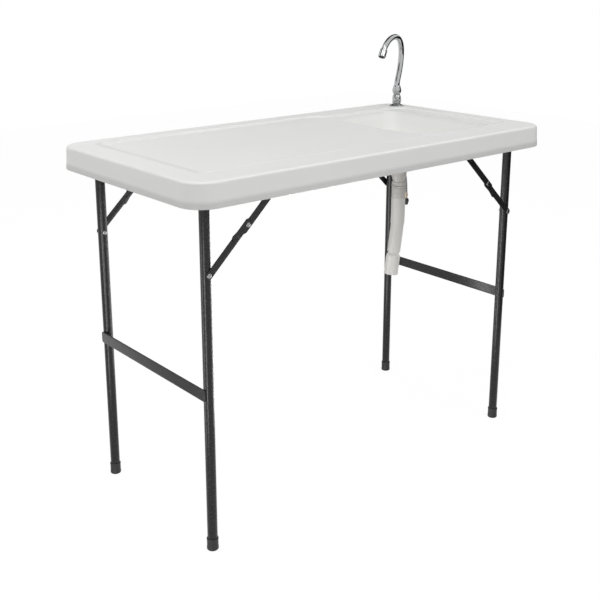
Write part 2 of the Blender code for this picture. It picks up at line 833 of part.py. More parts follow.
    side = Vector((math.cos(SUPPLY_FACE), math.sin(SUPPLY_FACE), 0))
    first = Vector((0, 0, shank_low - GAP))
    last = first + side * SUPPLY_SHIFT + Vector((0, 0, -SUPPLY_LENGTH))
    pull = Vector((0, 0, -SUPPLY_LENGTH * 0.4))
    points = [first] + bezier(first, first + pull, last - pull, last, 14)
    points.insert(1, first + Vector((0, 0, -0.004)))
    points.insert(-1, last + Vector((0, 0, 0.004)))
    place(swept("supply", points, SUPPLY_R, 2), "supply_hose", supply, here)
    under = last - Vector((0, 0, GAP))
    connector = turned(
        "connector",
        [
            (0, 0),
            (SUPPLY_R + 0.0006, 0),
            (SUPPLY_R + 0.0010, -0.008),
            (CONNECTOR_R, -0.009),
            (CONNECTOR_R, -0.016),
            (CONNECTOR_R - 0.0012, -0.0175),
            (CONNECTOR_R - 0.0012, -CONNECTOR_H),
            (0, -CONNECTOR_H),
        ],
        20,
    )
    place(connector, "supply_connector", brass, Vector(here) + under)
    under = under - Vector((0, 0, CONNECTOR_H + GAP))
    coupler = turned(
        "coupler",
        [
            (0, -0.004),
            (0.0042, -0.004),
            (0.0042, 0),
            (COUPLER_R - 0.0030, 0),
            (COUPLER_R - 0.0012, -0.0025),
            (COUPLER_R, -0.0050),
            (COUPLER_R, -0.0125),
            (COUPLER_R - 0.0020, -0.0150),
            (COUPLER_R - 0.0020, -COUPLER_H),
            (COUPLER_R - 0.0050, -COUPLER_H),
            (COUPLER_R - 0.0050, -0.012),
            (0, -0.012),
        ],
        24,
    )
    place(coupler, "quick_coupler", black, Vector(here) + under)


def spout_path(start, clear):
    """Centreline of the gooseneck: it leaves the nut upright, leans back and arches over."""
    face = Vector((math.cos(SPOUT_FACE), math.sin(SPOUT_FACE), 0))

    def point(reach, height):
        return face * reach + Vector((0, 0, TOP_HEIGHT + height))

    foot = Vector((0, 0, start))
    leave = Vector((0, 0, clear + SPOUT_STRAIGHT))
    mast = point(-SPOUT_LEAN, SPOUT_MAST_H)
    crown = point(SPOUT_CROWN_REACH, SPOUT_CROWN_H)
    tip = point(SPOUT_TIP_REACH, SPOUT_TIP_H)
    up = Vector((0, 0, 1))
    rise = (up * math.cos(SPOUT_LEAN_ANGLE) - face * math.sin(SPOUT_LEAN_ANGLE)) * SPOUT_RISE_PULL
    fall = (face * math.cos(SPOUT_FALL_ANGLE) - up * math.sin(SPOUT_FALL_ANGLE)) * SPOUT_FALL_PULL
    path = [foot, leave]
    path += bezier(leave, leave + up * SPOUT_LEAVE_PULL, mast - rise, mast, 8)
    path += bezier(mast, mast + rise, crown - face * SPOUT_BACK_PULL, crown, 9)
    path += bezier(crown, crown + face * SPOUT_FRONT_PULL, tip - fall, tip, 12)
    return path


# Leg frames


def saddle_outline(side, drop):
    """Strap round the pivot tube with two screw feet, relative to the tube's axis."""
    inner = TUBE_R + GAP
    outer = inner + SADDLE_T
    top = drop - GAP
    under = top - SADDLE_T
    foot = outer + SADDLE_FOOT
    loop = [(-foot, top), (-inner, top)]
    loop += arc(0, 0, inner, 180, 360, 14)
    loop += [(inner, top), (foot, top), (foot, under), (outer, under)]
    loop += arc(0, 0, outer, 0, -180, 14)
    loop += [(-outer, under), (-foot, under)]
    return loop


def link_points(side, pairs, origin_t):
    """Turns (along, across) pairs into XZ points, along running up the brace."""
    span = math.hypot(BRACE_DROP, BRACE_REACH)
    along = Vector((-side * BRACE_REACH / span, BRACE_DROP / span))
    across = Vector((side * BRACE_DROP / span, BRACE_REACH / span))
    return [tuple(along * (t - origin_t) + across * n) for t, n in pairs]


def dome_profile(radius, height, base):
    """Outer line of a low rounded head that stands on a base height, from its crown down."""
    crown = [(0, base + height), (radius * 0.45, base + height * 0.93), (radius * 0.82, base + height * 0.62)]
    return crown + [(radius, base)]


def dome(name, radius, height, steps=14):
    return turned(name, dome_profile(radius, height, 0) + [(0, 0)], steps)


def build_frame(tag, side, drop, steel, black, zinc):
    pivot_z = UNDERSIDE - drop
    pivot = (side * LEG_X, 0, pivot_z)
    rivet_z = pivot_z - BRACE_DROP
    span = math.hypot(BRACE_DROP, BRACE_REACH)
    lower = (span + (BRACE_REACH - BRACE_DROP)) / 2
    upper = span - lower
    knee = Vector((side * (LEG_X - BRACE_REACH * lower / span), rivet_z + BRACE_DROP * lower / span))
    anchor = Vector((side * (LEG_X - BRACE_REACH), pivot_z))

    inner = LEG_Y - TUBE_R - GAP
    tube = ring_tube("tube", TUBE_R, TUBE_R - TUBE_WALL, -inner, inner, 20)
    place(turn_mesh(tube, math.radians(90), "X"), tag + "_pivot_tube", steel, pivot)

    bar = plate(
        "bar",
        arc(CROSSBAR_HALF - 0.006, CROSSBAR_H / 2 - 0.006, 0.006, 0, 90, 3)
        + arc(-CROSSBAR_HALF + 0.006, CROSSBAR_H / 2 - 0.006, 0.006, 90, 180, 3)
        + arc(-CROSSBAR_HALF + 0.006, -CROSSBAR_H / 2 + 0.006, 0.006, 180, 270, 3)
        + arc(CROSSBAR_HALF - 0.006, -CROSSBAR_H / 2 + 0.006, 0.006, 270, 360, 3),
        CROSSBAR_T,
    )
    turn_mesh(bar, math.radians(90), "Z")
    offset = (side * (TUBE_R + GAP + CROSSBAR_T / 2), 0, CROSSBAR_Z - pivot_z)
    place(move_mesh(bar, offset), tag + "_crossbar", steel, pivot)

    for end, sy in (("front", -1), ("back", 1)):
        name = tag + "_" + end
        leg = ring_tube("leg", TUBE_R, TUBE_R - TUBE_WALL, CAP_FLOOR + GAP - pivot_z, LEG_TOP, 20)
        through = rod("rivet_hole", RIVET_R + HOLE_PLAY, -0.03, 0.03, 12)
        turn_mesh(through, math.radians(90), "X")
        cut(leg, move_mesh(through, (0, 0, -BRACE_DROP)))
        bpy.context.view_layer.update()
        leg = replace_with_mesh(leg)
        place(move_mesh(leg, (0, sy * LEG_Y, 0)), name + "_leg", steel, pivot)

        bore = TUBE_R + GAP
        cap = turned(
            "cap",
            [
                (0, CAP_FLOOR),
                (bore, CAP_FLOOR),
                (bore, CAP_H),
                (CAP_R - 0.0006, CAP_H),
                (CAP_R, CAP_H - 0.001),
                (CAP_R, 0.002),
                (CAP_R - 0.0016, 0),
                (0, 0),
            ],
            20,
        )
        place(move_mesh(cap, (0, sy * LEG_Y, -pivot_z)), name + "_foot_cap", black, pivot)

        head = TUBE_R + GAP
        rivet = dome_profile(RIVET_HEAD_R, RIVET_HEAD_H, head)
        rivet = turned("leg_rivet", rivet + [(RIVET_R, head), (RIVET_R, -TUBE_R), (0, -TUBE_R)], 14)
        turn_mesh(rivet, math.radians(90) * sy, "X")
        place(move_mesh(rivet, (0, sy * LEG_Y, -BRACE_DROP)), name + "_leg_rivet", zinc, pivot)

        half = LINK_W / 2
        hole = RIVET_R + HOLE_PLAY
        outward = math.radians(-90) * sy
        loop = arc(-lower, 0, half, 90, 270, 8) + arc(0, 0, half, -90, 90, 8)
        link = plate("lower", link_points(side, loop, 0.0), LINK_T, [(0, 0, hole)])
        head = turn_mesh(dome("head", RIVET_HEAD_R, RIVET_HEAD_H), outward, "X")
        tip = link_points(side, [(-lower, 0)], 0.0)[0]
        sunk = move_mesh(head, (tip[0], sy * (LINK_T / 2 - SINK), tip[1]))
        join(link, sunk)
        place(link, name + "_lower_link", steel, (knee.x, sy * LINK_Y, knee.y))

        hand = side * sy
        tab = -LOCK_LENGTH
        loop = arc(upper, 0, half, -90, 90, 8)
        loop += [(0.012, half), (0.006, LOCK_W * 0.86), (-0.022, LOCK_W * 0.75), (-0.029, LOCK_W * 0.82)]
        loop += [(tab + 0.005, LOCK_W), (tab, LOCK_W * 0.90), (tab - 0.0022, 0.005)]
        loop += [(tab + 0.0015, -0.003), (-0.025, -0.0042), (-0.018, -half)]
        loop = [(t, n * hand) for t, n in loop]
        marks = [(0, 0), (tab + LOCK_HOLE_X, LOCK_HOLE_Z * hand), (tab + LOCK_DIMPLE_X, LOCK_DIMPLE_Z * hand)]
        tip, stop, spot = link_points(side, marks, upper)
        holes = [(0, 0, hole), (*tip, hole), (*stop, LOCK_HOLE_R)]
        link = plate("upper", link_points(side, loop, upper), LINK_T, holes)
        dimple = turn_mesh(dome("dimple", LOCK_DIMPLE_R, LOCK_DIMPLE_H, 10), outward, "X")
        join(link, move_mesh(dimple, (spot[0], sy * (LINK_T / 2 - SINK), spot[1])))
        place(link, name + "_upper_link", steel, (anchor.x, sy * UPPER_Y, anchor.y))

        middle = UPPER_Y + LINK_T / 2 + GAP
        shoulder = LINK_Y + LINK_T / 2 + GAP
        low = LINK_Y - LINK_T / 2
        shelf = UPPER_Y - LINK_T / 2 - GAP
        shank = [(RIVET_R, middle), (RIVET_R, shelf), (RIVET_HEAD_R, shelf), (RIVET_HEAD_R, shoulder)]
        shank += [(RIVET_R, shoulder), (RIVET_R, low), (0, low)]
        rivet = turned("brace_rivet", dome_profile(RIVET_HEAD_R, RIVET_HEAD_H, middle) + shank, 14)
        turn_mesh(rivet, outward, "X")
        place(rivet, name + "_brace_rivet", zinc, (knee.x, 0, knee.y))

        cheek_low = -(half + 0.003)
        top = drop - GAP
        cheek = box("cheek", (BRACKET_W, LINK_T, top - cheek_low), (0, 0, (top + cheek_low) / 2))
        foot_size = (BRACKET_W, BRACKET_FOOT, LINK_T)
        join(cheek, box("foot", foot_size, (0, sy * (BRACKET_FOOT - LINK_T) / 2, top - LINK_T / 2)))
        pin = rod("pin", RIVET_R, -LINK_T * 1.5 - GAP, 0, 12)
        join(cheek, turn_mesh(pin, outward, "X"))
        head = turn_mesh(dome("pin_head", RIVET_HEAD_R, RIVET_HEAD_H), outward, "X")
        join(cheek, move_mesh(head, (0, sy * (LINK_T / 2 - SINK), 0)))
        place(cheek, name + "_brace_bracket", steel, (anchor.x, sy * CHEEK_Y, anchor.y))

        saddle = plate("saddle", saddle_outline(side, drop), SADDLE_WIDTH)
        place(saddle, name + "_pivot_saddle", steel, (pivot[0], sy * SADDLE_Y, pivot[2]))


def main():
    global parts, guides
    for obj in list(bpy.data.objects):
        bpy.data.objects.remove(obj)
    parts = new_collection("folding_fish_table")
    guides = new_collection("cutters")

    white = material("moulded_white", (0.80, 0.80, 0.78), 0.45)
    pipe = material("pipe_grey_white", (0.62, 0.60, 0.56), 0.50)
    hose = material("hose_grey_white", (0.60, 0.58, 0.54), 0.55)
    seal = material("seal_black", (0.03, 0.03, 0.03), 0.70)
    chrome = material("chrome", (0.80, 0.80, 0.82), 0.08, 1.0)
    brass = material("brass", (0.60, 0.48, 0.28), 0.35, 1.0)
    black = material("black_plastic", (0.02, 0.02, 0.02), 0.45)
    supply = material("supply_grey", (0.35, 0.35, 0.35), 0.50)
    steel = material("coated_steel", (0.06, 0.06, 0.06), 0.45, 0.3)
    zinc = material("zinc", (0.75, 0.75, 0.75), 0.30, 1.0)

    build_worktop(white)
    build_drain(pipe, hose, seal)
    build_tap(chrome, brass, black, seal, supply)
    build_frame("left", -1, LEFT_PIVOT_DROP, steel, black, zinc)
    build_frame("right", 1, RIGHT_PIVOT_DROP, steel, black, zinc)


main()
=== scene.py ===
"""Looks of the folding fish cleaning table: moulded worktop with a sink, gooseneck
tap, drain and supply hoses, and steel leg frames with folding braces. Metres."""

import json
import math

import bmesh
import bpy
from mathutils import Matrix, Vector


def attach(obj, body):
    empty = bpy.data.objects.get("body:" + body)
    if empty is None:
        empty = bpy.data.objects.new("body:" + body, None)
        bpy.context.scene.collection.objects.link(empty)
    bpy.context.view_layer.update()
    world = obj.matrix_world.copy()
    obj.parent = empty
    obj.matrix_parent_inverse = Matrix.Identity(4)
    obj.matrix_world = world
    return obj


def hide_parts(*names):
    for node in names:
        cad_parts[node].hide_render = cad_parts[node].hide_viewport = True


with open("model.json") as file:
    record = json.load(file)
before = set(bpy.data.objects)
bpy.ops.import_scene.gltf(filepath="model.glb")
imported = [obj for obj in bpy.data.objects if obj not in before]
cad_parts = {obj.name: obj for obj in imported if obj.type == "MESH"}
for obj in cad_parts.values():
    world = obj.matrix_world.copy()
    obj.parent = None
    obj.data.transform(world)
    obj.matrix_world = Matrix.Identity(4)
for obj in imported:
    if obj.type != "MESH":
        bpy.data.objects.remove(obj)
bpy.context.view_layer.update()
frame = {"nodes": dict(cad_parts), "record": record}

# Seam between neighbours, size below which points are one, steps round a finely turned shape, quarter turn
GAP = 0.0003
TINY = 1e-6
FINE = 96
QUARTER = math.radians(90)

# Worktop
TOP_LENGTH = 1.220
TOP_WIDTH = 0.620
TOP_HEIGHT = 0.930
CORNER_R = 0.060
SKIRT_DEPTH = 0.060
SKIRT_FLARE = 0.004
SKIRT_WALL = 0.010
DECK = 0.912
WORK_Z = 0.9255
BOWL_FLOOR = 0.8395
BOWL_WALL = 0.0035

# Drain
DRAIN = Vector((0.3385, 0.008, 0.0))
DRAIN_HOLE_R = 0.0223
TAIL_R = 0.0220
TAIL_LENGTH = 0.040
FLANGE_RIM_R = 0.0325
ADAPTER_TOP = 0.8211
ADAPTER_LENGTH = 0.0912
ADAPTER_END_R = 0.0184
PIPE_BORE_R = 0.0150
RING_R = 0.0206
COLLAR_LENGTH = 0.0304
CUFF_R = 0.0214
CUFF_LENGTH = 0.070
HOSE_R = 0.0209
HOSE_BORE_R = 0.0165
HOSE_LENGTH = 0.171
HOSE_BEND = 0.072
HOSE_LEAN = math.radians(8.6)
HOSE_RIBS = 40
HOSE_RIB_DEPTH = 0.0007
HOSE_SLEEVE = 0.082

# Tap
TAP = Vector((0.568, 0.245, 0.0))
TAP_HOLE_R = 0.0103
TAP_FACE = math.radians(230.0)
BASE_HEIGHT = 0.006
BODY_R = 0.0143
BODY_HEIGHT = 0.0292
BOSS_RISE = 0.0145
BOSS_R = 0.0080
BOSS_REACH = 0.0185
HANDLE = (0.0250, 0.0068, 0.0056)
NUT_R = 0.0152
NUT_HEIGHT = 0.0307
NUT_SOCKET = 0.0165
SPOUT_R = 0.0092
SPOUT_FACE = math.radians(198.0)
AERATOR_R = 0.0122
AERATOR_LENGTH = 0.0265
AERATOR_SOCKET = 0.010
SHANK_R = 0.0100
SHANK_LOW = 0.880
TAP_NUT_AF = 0.0240
TAP_NUT_HEIGHT = 0.0100
WASHER_T = 0.002
SUPPLY_R = 0.0068
SUPPLY_FACE = math.radians(-38.83)
SUPPLY_SHIFT = 0.038
SUPPLY_DROP = 0.2412
CONNECTOR_R = 0.0086
CONNECTOR_LENGTH = 0.023
COUPLER_R = 0.0125
COUPLER_LENGTH = 0.021

# Leg frames
LEG_X = 0.537
LEG_Y = 0.235
TUBE_R = 0.0125
TUBE_WALL = 0.0012
LEG_TOP = 0.0105
PIVOT_DROP = {"left": 0.017, "right": 0.047}
CROSSBAR_Z = 0.4080
CROSSBAR_HEIGHT = 0.0300
CROSSBAR_T = 0.0030
CROSSBAR_HALF = 0.2420
CAP_R = 0.0145
CAP_HEIGHT = 0.031
CAP_FLOOR = 0.0042
SADDLE_Y = 0.190
SADDLE_WIDTH = 0.030
SADDLE_T = 0.0025
SADDLE_FOOT = 0.018

# Folding braces
BRACE_DROP = 0.195
BRACE_REACH = 0.206
BRACE = math.hypot(BRACE_DROP, BRACE_REACH)
LOWER = (BRACE + BRACE_REACH - BRACE_DROP) / 2
UPPER = BRACE - LOWER
LINK_W = 0.0180
LINK_T = 0.0025
RIVET_R = 0.0030
HEAD_R = 0.0060
HEAD_HEIGHT = 0.0024
LOCK_LENGTH = 0.0505
LOCK_W = 0.0155
BRACKET_W = 0.026
BRACKET_FOOT = 0.024
RIVET_HOLE_R = RIVET_R + 0.0003
SUNK = 0.0002
LINK_Y = LEG_Y + TUBE_R + GAP + LINK_T / 2
UPPER_Y = LINK_Y + LINK_T + HEAD_HEIGHT + GAP
CHEEK_Y = UPPER_Y + LINK_T + GAP


class Socket:
    """An output of a node. Arithmetic on it adds Math nodes to its graph."""

    def __init__(self, graph, port):
        self.graph = graph
        self.port = port

    def _math(self, operation, first, second=0.0):
        return self.graph.node("ShaderNodeMath", {"operation": operation}, {0: first, 1: second})

    def __add__(self, other):
        return self._math("ADD", self, other)

    def __sub__(self, other):
        return self._math("SUBTRACT", self, other)

    def __rsub__(self, other):
        return self._math("SUBTRACT", other, self)

    def __mul__(self, other):
        return self._math("MULTIPLY", self, other)

    def __truediv__(self, other):
        return self._math("DIVIDE", self, other)

    def __gt__(self, other):
        return self._math("GREATER_THAN", self, other)

    def __abs__(self):
        return self._math("ABSOLUTE", self)

    __radd__ = __add__
    __rmul__ = __mul__


class Graph:
    """A node tree that is written as expressions."""

    def __init__(self, tree):
        self.tree = tree

    def node(self, kind, settings=None, inputs=None, output=0):
        made = self.tree.nodes.new(kind)
        for name, value in (settings or {}).items():
            if name == "stops":
                self.set_stops(made.color_ramp, value)
            else:
                setattr(made, name, value)
        for key, value in (inputs or {}).items():
            if isinstance(value, Socket):
                self.tree.links.new(value.port, made.inputs[key])
            else:
                made.inputs[key].default_value = value
        return Socket(self, made.outputs[output])

    @staticmethod
    def set_stops(ramp, stops):
        while len(ramp.elements) < len(stops):
            ramp.elements.new(1.0)
        for element, (place, value) in zip(ramp.elements, stops):
            element.position = place
            element.color = (value, value, value, 1.0)


class Finish(Graph):
    """A material: its tree, its object coordinates and its surface shader."""

    def __init__(self, name, values=None):
        self.material = bpy.data.materials.new(name)
        self.material.use_nodes = True
        super().__init__(self.material.node_tree)
        self.surface = self.tree.nodes["Principled BSDF"]
        self.place = self.node("ShaderNodeTexCoord", output="Object")
        for key, value in (values or {}).items():
            self.surface.inputs[key].default_value = value

    def axis(self, name):
        return self.node("ShaderNodeSeparateXYZ", None, {"Vector": self.place}, name)

    def noise(self, scale, detail=2.0):
        values = {"Vector": self.place, "Scale": scale, "Detail": detail}
        return self.node("ShaderNodeTexNoise", None, values, "Fac")

    def cells(self, scale):
        values = {"Vector": self.place, "Scale": scale}
        return self.node("ShaderNodeTexVoronoi", {"feature": "SMOOTH_F1"}, values, "Distance")

    def ramp(self, value, start=0.0, stop=1.0):
        """0 up to one value, and 1 from another on."""
        return self.node("ShaderNodeValToRGB", {"stops": ((start, 0.0), (stop, 1.0))}, {"Fac": value})

    def blend(self, share, first, second):
        """A colour between two colours."""
        ends = [c if isinstance(c, Socket) else (*c, 1.0) for c in (first, second)]
        values = {0: share, 6: ends[0], 7: ends[1]}
        return self.node("ShaderNodeMix", {"data_type": "RGBA"}, values, 2)

    def bump(self, height, distance, strength, under=None):
        values = {"Height": height, "Distance": distance, "Strength": strength}
        if under:
            values["Normal"] = under
        return self.node("ShaderNodeBump", None, values)

    def done(self, colour, roughness, normal):
        """The material, with what changes over its surface linked to its shader."""
        for key, value in (("Base Color", colour), ("Roughness", roughness), ("Normal", normal)):
            self.tree.links.new(value.port, self.surface.inputs[key])
        return self.material


# The bowl's inside is painted brighter, as painted light bounced round in it: where it begins, and how
# steeply it brightens from there
BRIGHT_LEFT = 0.19
BRIGHT_RIGHT = 0.54
BRIGHT_SIDE = 0.215
SLOW_RISE = 20.0
QUICK_RISE = 40.0


def moulded_white():
    look = Finish("moulded_white")
    broad = look.noise(3.0, 3.0)
    fine = look.noise(260.0)
    grain = look.cells(620.0)
    dull, clean, lit = (0.775, 0.78, 0.77), (0.81, 0.812, 0.80), (0.865, 0.865, 0.85)
    # Colours of a painted highlight and of painted shade
    painted_highlight_white, painted_shade_grey = (0.88, 0.88, 0.87), (0.60, 0.60, 0.59)
    plain = look.blend(look.ramp(broad * 0.7 + fine * 0.3, 0.3, 0.7), dull, clean)
    x, y, z = (look.axis(name) for name in "XYZ")
    # Painted light: a mask that brightens the white inside the bowl
    painted_bowl_light = look.ramp((x - BRIGHT_LEFT) * SLOW_RISE, 0.0, 0.5)
    painted_bowl_light = painted_bowl_light * look.ramp((BRIGHT_RIGHT - x) * SLOW_RISE, 0.0, 0.5)
    painted_bowl_light = painted_bowl_light * look.ramp((BRIGHT_SIDE - abs(y)) * QUICK_RISE, 0.0, 0.5)
    painted_bowl_light = painted_bowl_light * look.ramp((WORK_Z - z) * QUICK_RISE, 0.02, 0.5)
    # The skin's attribute paints light: above 0 a painted highlight, below 0 painted shade
    wear = look.node("ShaderNodeAttribute", {"attribute_name": "wear"}, None, "Fac")
    tone = look.blend(look.ramp(wear), look.blend(painted_bowl_light, plain, lit), painted_highlight_white)
    return look.done(
        look.blend(look.ramp(wear * -1.0), tone, painted_shade_grey),
        look.noise(90.0) * 0.12 + 0.40,
        look.bump(grain, 0.00010, 0.6, look.bump(fine, 0.00012, 0.35)),
    )


def warm_plastic_painted_shade(name, low, high, dark, light):
    """Warm white plastic painted greyer towards the bowl than at its free end: painted shade of the table
    above it.
    """
    look = Finish(name)
    tone = look.noise(50.0, 3.0)
    # Painted shade: darker the higher it is, under the table, with a random tone on it
    share = (look.axis("Z") - low) / (high - low) + (tone - 0.5) * 0.35
    return look.done(
        look.blend(look.ramp(share), light, dark),
        tone * 0.2 + 0.38,
        look.bump(look.noise(600.0), 0.0001, 0.3),
    )


def coated_steel():
    look = Finish("coated_steel", {"Metallic": 0.2, "Specular IOR Level": 0.32})
    hammer = look.cells(230.0)
    fine = look.noise(900.0)
    charcoal, raised = (0.014, 0.014, 0.014), (0.028, 0.028, 0.028)
    return look.done(
        look.blend(look.ramp(hammer, 0.1, 0.75), charcoal, raised),
        hammer * 0.12 + 0.20,
        look.bump(hammer, 0.0005, 0.35, look.bump(fine, 0.0001, 0.25)),
    )


def chrome_plate():
    look = Finish("chrome_plate", {"Metallic": 1.0})
    haze = look.noise(120.0, 3.0)
    dim, clear = (0.42, 0.425, 0.43), (0.48, 0.485, 0.49)
    return look.done(
        look.blend(look.ramp(haze, 0.35, 0.65), dim, clear),
        haze * 0.06 + 0.05,
        look.bump(look.noise(40.0), 0.0004, 0.12),
    )


def zinc_rivet():
    look = Finish("zinc_rivet", {"Metallic": 1.0})
    scuff = look.noise(700.0, 3.0)
    dark, light = (0.20, 0.203, 0.206), (0.40, 0.405, 0.41)
    return look.done(
        look.blend(look.ramp(scuff, 0.35, 0.7), dark, light),
        scuff * 0.25 + 0.2,
        look.bump(scuff, 0.0002, 0.4),
    )


def plated_brass():
    look = Finish("beige_brass", {"Metallic": 0.25})
    tone = look.noise(300.0)
    dark, light = (0.50, 0.42, 0.32), (0.62, 0.54, 0.43)
    return look.done(look.blend(tone, dark, light), tone * 0.2 + 0.35, look.bump(tone, 0.0002, 0.3))


def dark_plastic(name, colour, roughness):
    look = Finish(name)
    grain = look.noise(800.0)
    shade = tuple(c * 0.7 for c in colour)
    return look.done(
        look.blend(grain, shade, colour),
        grain * 0.15 + roughness,
        look.bump(grain, 0.00015, 0.4),
    )


looks = {
    "moulded_white": moulded_white(),
    # The drain pipe and the hose carry painted shade from the table above them
    "drain_white": warm_plastic_painted_shade("pipe_white", 0.70, 0.76, (0.53, 0.508, 0.482), (0.565, 0.54, 0.51)),
    "hose_white": warm_plastic_painted_shade("hose_white", 0.52, 0.71, (0.665, 0.645, 0.61), (0.78, 0.76, 0.73)),
    "coated_steel": coated_steel(),
    "chrome": chrome_plate(),
    "zinc_steel": zinc_rivet(),
    "brass": plated_brass(),
    "black_plastic": dark_plastic("black_plastic", (0.012, 0.012, 0.012), 0.35),
    "foot_rubber": dark_plastic("foot_rubber", (0.014, 0.014, 0.015), 0.5),
    "seal_rubber": dark_plastic("seal_rubber", (0.010, 0.010, 0.010), 0.6),
    "supply_grey": dark_plastic("supply_grey", (0.30, 0.30, 0.30), 0.45),
}

for part in frame["record"]["subparts"]:
    node = frame["nodes"][part["node"]]
    node.data.materials.clear()
    node.data.materials.append(looks[part["material_slot"]])


def clamped(value, least=0.0):
    return min(1.0, max(least, value))


def upright(z):
    return Vector((0, 0, z))


def facing(angle):
    return Vector((math.cos(angle), math.sin(angle), 0))


def about(axis, angle):
    return Matrix.Rotation(angle, 4, axis)


def at(place):
    return Matrix.Translation(place)


def circle(centre, radius, z, count=48):
    points = []
    for i in range(count):
        a = math.tau * i / count
        points.append(Vector((centre.x + radius * math.cos(a), centre.y + radius * math.sin(a), z)))
    return points


def arc(x, y, radius, start, stop, count):
    angles = [math.radians(start + (stop - start) * i / count) for i in range(count + 1)]
    return [Vector((x + radius * math.cos(a), y + radius * math.sin(a), 0.0)) for a in angles]


def round_rectangle(half_x, half_y, radius, count):
    """A counter-clockwise rectangle with round corners."""
    loop = []
    for sx, sy, start in ((1, 1, 0), (-1, 1, 90), (-1, -1, 180), (1, -1, 270)):
        loop += arc(sx * (half_x - radius), sy * (half_y - radius), radius, start, start + 90, count)
    return loop


def curve_between(p0, p1, p2, p3, count):
    """Points of a cubic curve, without its first one."""
    out = []
    for i in range(1, count + 1):
        t = i / count
        s = 1 - t
        out.append(p0 * s**3 + p1 * (3 * s * s * t) + p2 * (3 * s * t * t) + p3 * t**3)
    return out


def shifted(loop, inset, z):
    """A counter-clockwise loop moved inwards and set at a height."""
    sharpest = 0.3
    out = []
    count = len(loop)
    for i, here in enumerate(loop):
        first = (here - loop[i - 1]).to_2d().normalized()
        second = (loop[(i + 1) % count] - here).to_2d().normalized()
        normal_a = Vector((-first.y, first.x))
        normal_b = Vector((-second.y, second.x))
        mitre = (normal_a + normal_b).normalized()
        move = mitre * inset / max(sharpest, mitre.dot(normal_a))
        out.append(Vector((here.x + move.x, here.y + move.y, z)))
    return out


def softened(profile, radius, closed=False):
    """A line of (r, z) points with its corners rounded, each by less than half of its sides."""
    most = 0.45
    points = [Vector(p) for p in profile]
    count = len(points)
    out = []
    for i, here in enumerate(points):
        if not closed and i in (0, count - 1):
            out.append(here)
            continue
        back = points[i - 1] - here
        ahead = points[(i + 1) % count] - here
        cut = min(radius, back.length * most, ahead.length * most)
        start = here + back.normalized() * cut
        end = here + ahead.normalized() * cut
        for t in (0.0, 0.2, 0.5, 0.8, 1.0):
            out.append(start * (1 - t) ** 2 + here * 2 * t * (1 - t) + end * t * t)
    return out


def bridge(bm, low, high):
    """Faces between two rings, either of which may be a single point."""
    count = max(len(low), len(high))
    for i in range(count):
        j = (i + 1) % count
        if len(low) == 1:
            bm.faces.new((low[0], high[j], high[i]))
        elif len(high) == 1:
            bm.faces.new((low[i], low[j], high[0]))
        else:
            bm.faces.new((low[i], low[j], high[j], high[i]))


def skin(bm, rings, closed=False):
    """Rings of points joined in a row, and round again where the row closes."""
    rows = [[bm.verts.new(p) for p in ring] for ring in rings]
    for low, high in zip(rows, rows[1:]):
        bridge(bm, low, high)
    if closed:
        bridge(bm, rows[-1], rows[0])
    return rows


def fill(bm, *loops):
    """Flat faces inside the first loop of vertices and outside the others."""
    edges = []
    for loop in loops:
        for i, vert in enumerate(loop):
            pair = (vert, loop[(i + 1) % len(loop)])
            edges.append(bm.edges.get(pair) or bm.edges.new(pair))
    bmesh.ops.triangle_fill(bm, edges=edges, use_beauty=True, use_dissolve=False, normal=(0, 0, 1))


def turned(profile, steps=64, closed=False, soft=0.0):
    """A line of (r, z) points turned about Z."""
    if soft:
        profile = softened(profile, soft, closed)
    rings = []
    for r, z in profile:
        rings.append([upright(z)] if r < TINY else circle(upright(0), r, z, steps))
    bm = bmesh.new()
    skin(bm, rings, closed)
    return bm


def plug(radius, low, high, steps):
    """A plain round bar about Z."""
    return turned([(0, low), (radius, low), (radius, high), (0, high)], steps)


def hollow(inner, outer, low, high, steps, soft):
    """A plain round tube about Z."""
    return turned([(inner, low), (inner, high), (outer, high), (outer, low)], steps, True, soft)


def moved(bm, matrix):
    bmesh.ops.transform(bm, matrix=matrix, verts=bm.verts)
    return bm


def placed(name, data):
    made = bpy.data.objects.new(name, data)
    bpy.context.scene.collection.objects.link(made)
    return made


def outward_mesh(name, bm):
    """A shape as a mesh whose faces point outwards."""
    bmesh.ops.recalc_face_normals(bm, faces=bm.faces)
    mesh = bpy.data.meshes.new(name)
    bm.to_mesh(mesh)
    bm.free()
    return mesh


def plain_mesh(holder):
    """What a holder's modifiers make of it, as a plain mesh. The holder goes."""
    bpy.context.view_layer.update()
    graph = bpy.context.evaluated_depsgraph_get()
    mesh = bpy.data.meshes.new_from_object(holder.evaluated_get(graph))
    bpy.data.objects.remove(holder)
    return mesh


def piece(name, bm, slot, body, *nodes, sharp=40.0):
    """A shape as a finished piece."""
    return dressed(name, outward_mesh(name, bm), slot, body, *nodes, sharp=sharp)


def dressed(name, mesh, slot, body, *nodes, sharp=40.0):
    """A mesh as a finished piece: smooth, in its finish, on its body, in place of its CAD nodes."""
    made = placed(name, mesh)
    mesh.materials.clear()
    mesh.materials.append(looks[slot])
    mesh.shade_smooth()
    mesh.set_sharp_from_angle(angle=math.radians(sharp))
    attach(made, body)
    if nodes:
        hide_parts(*nodes)
    return made


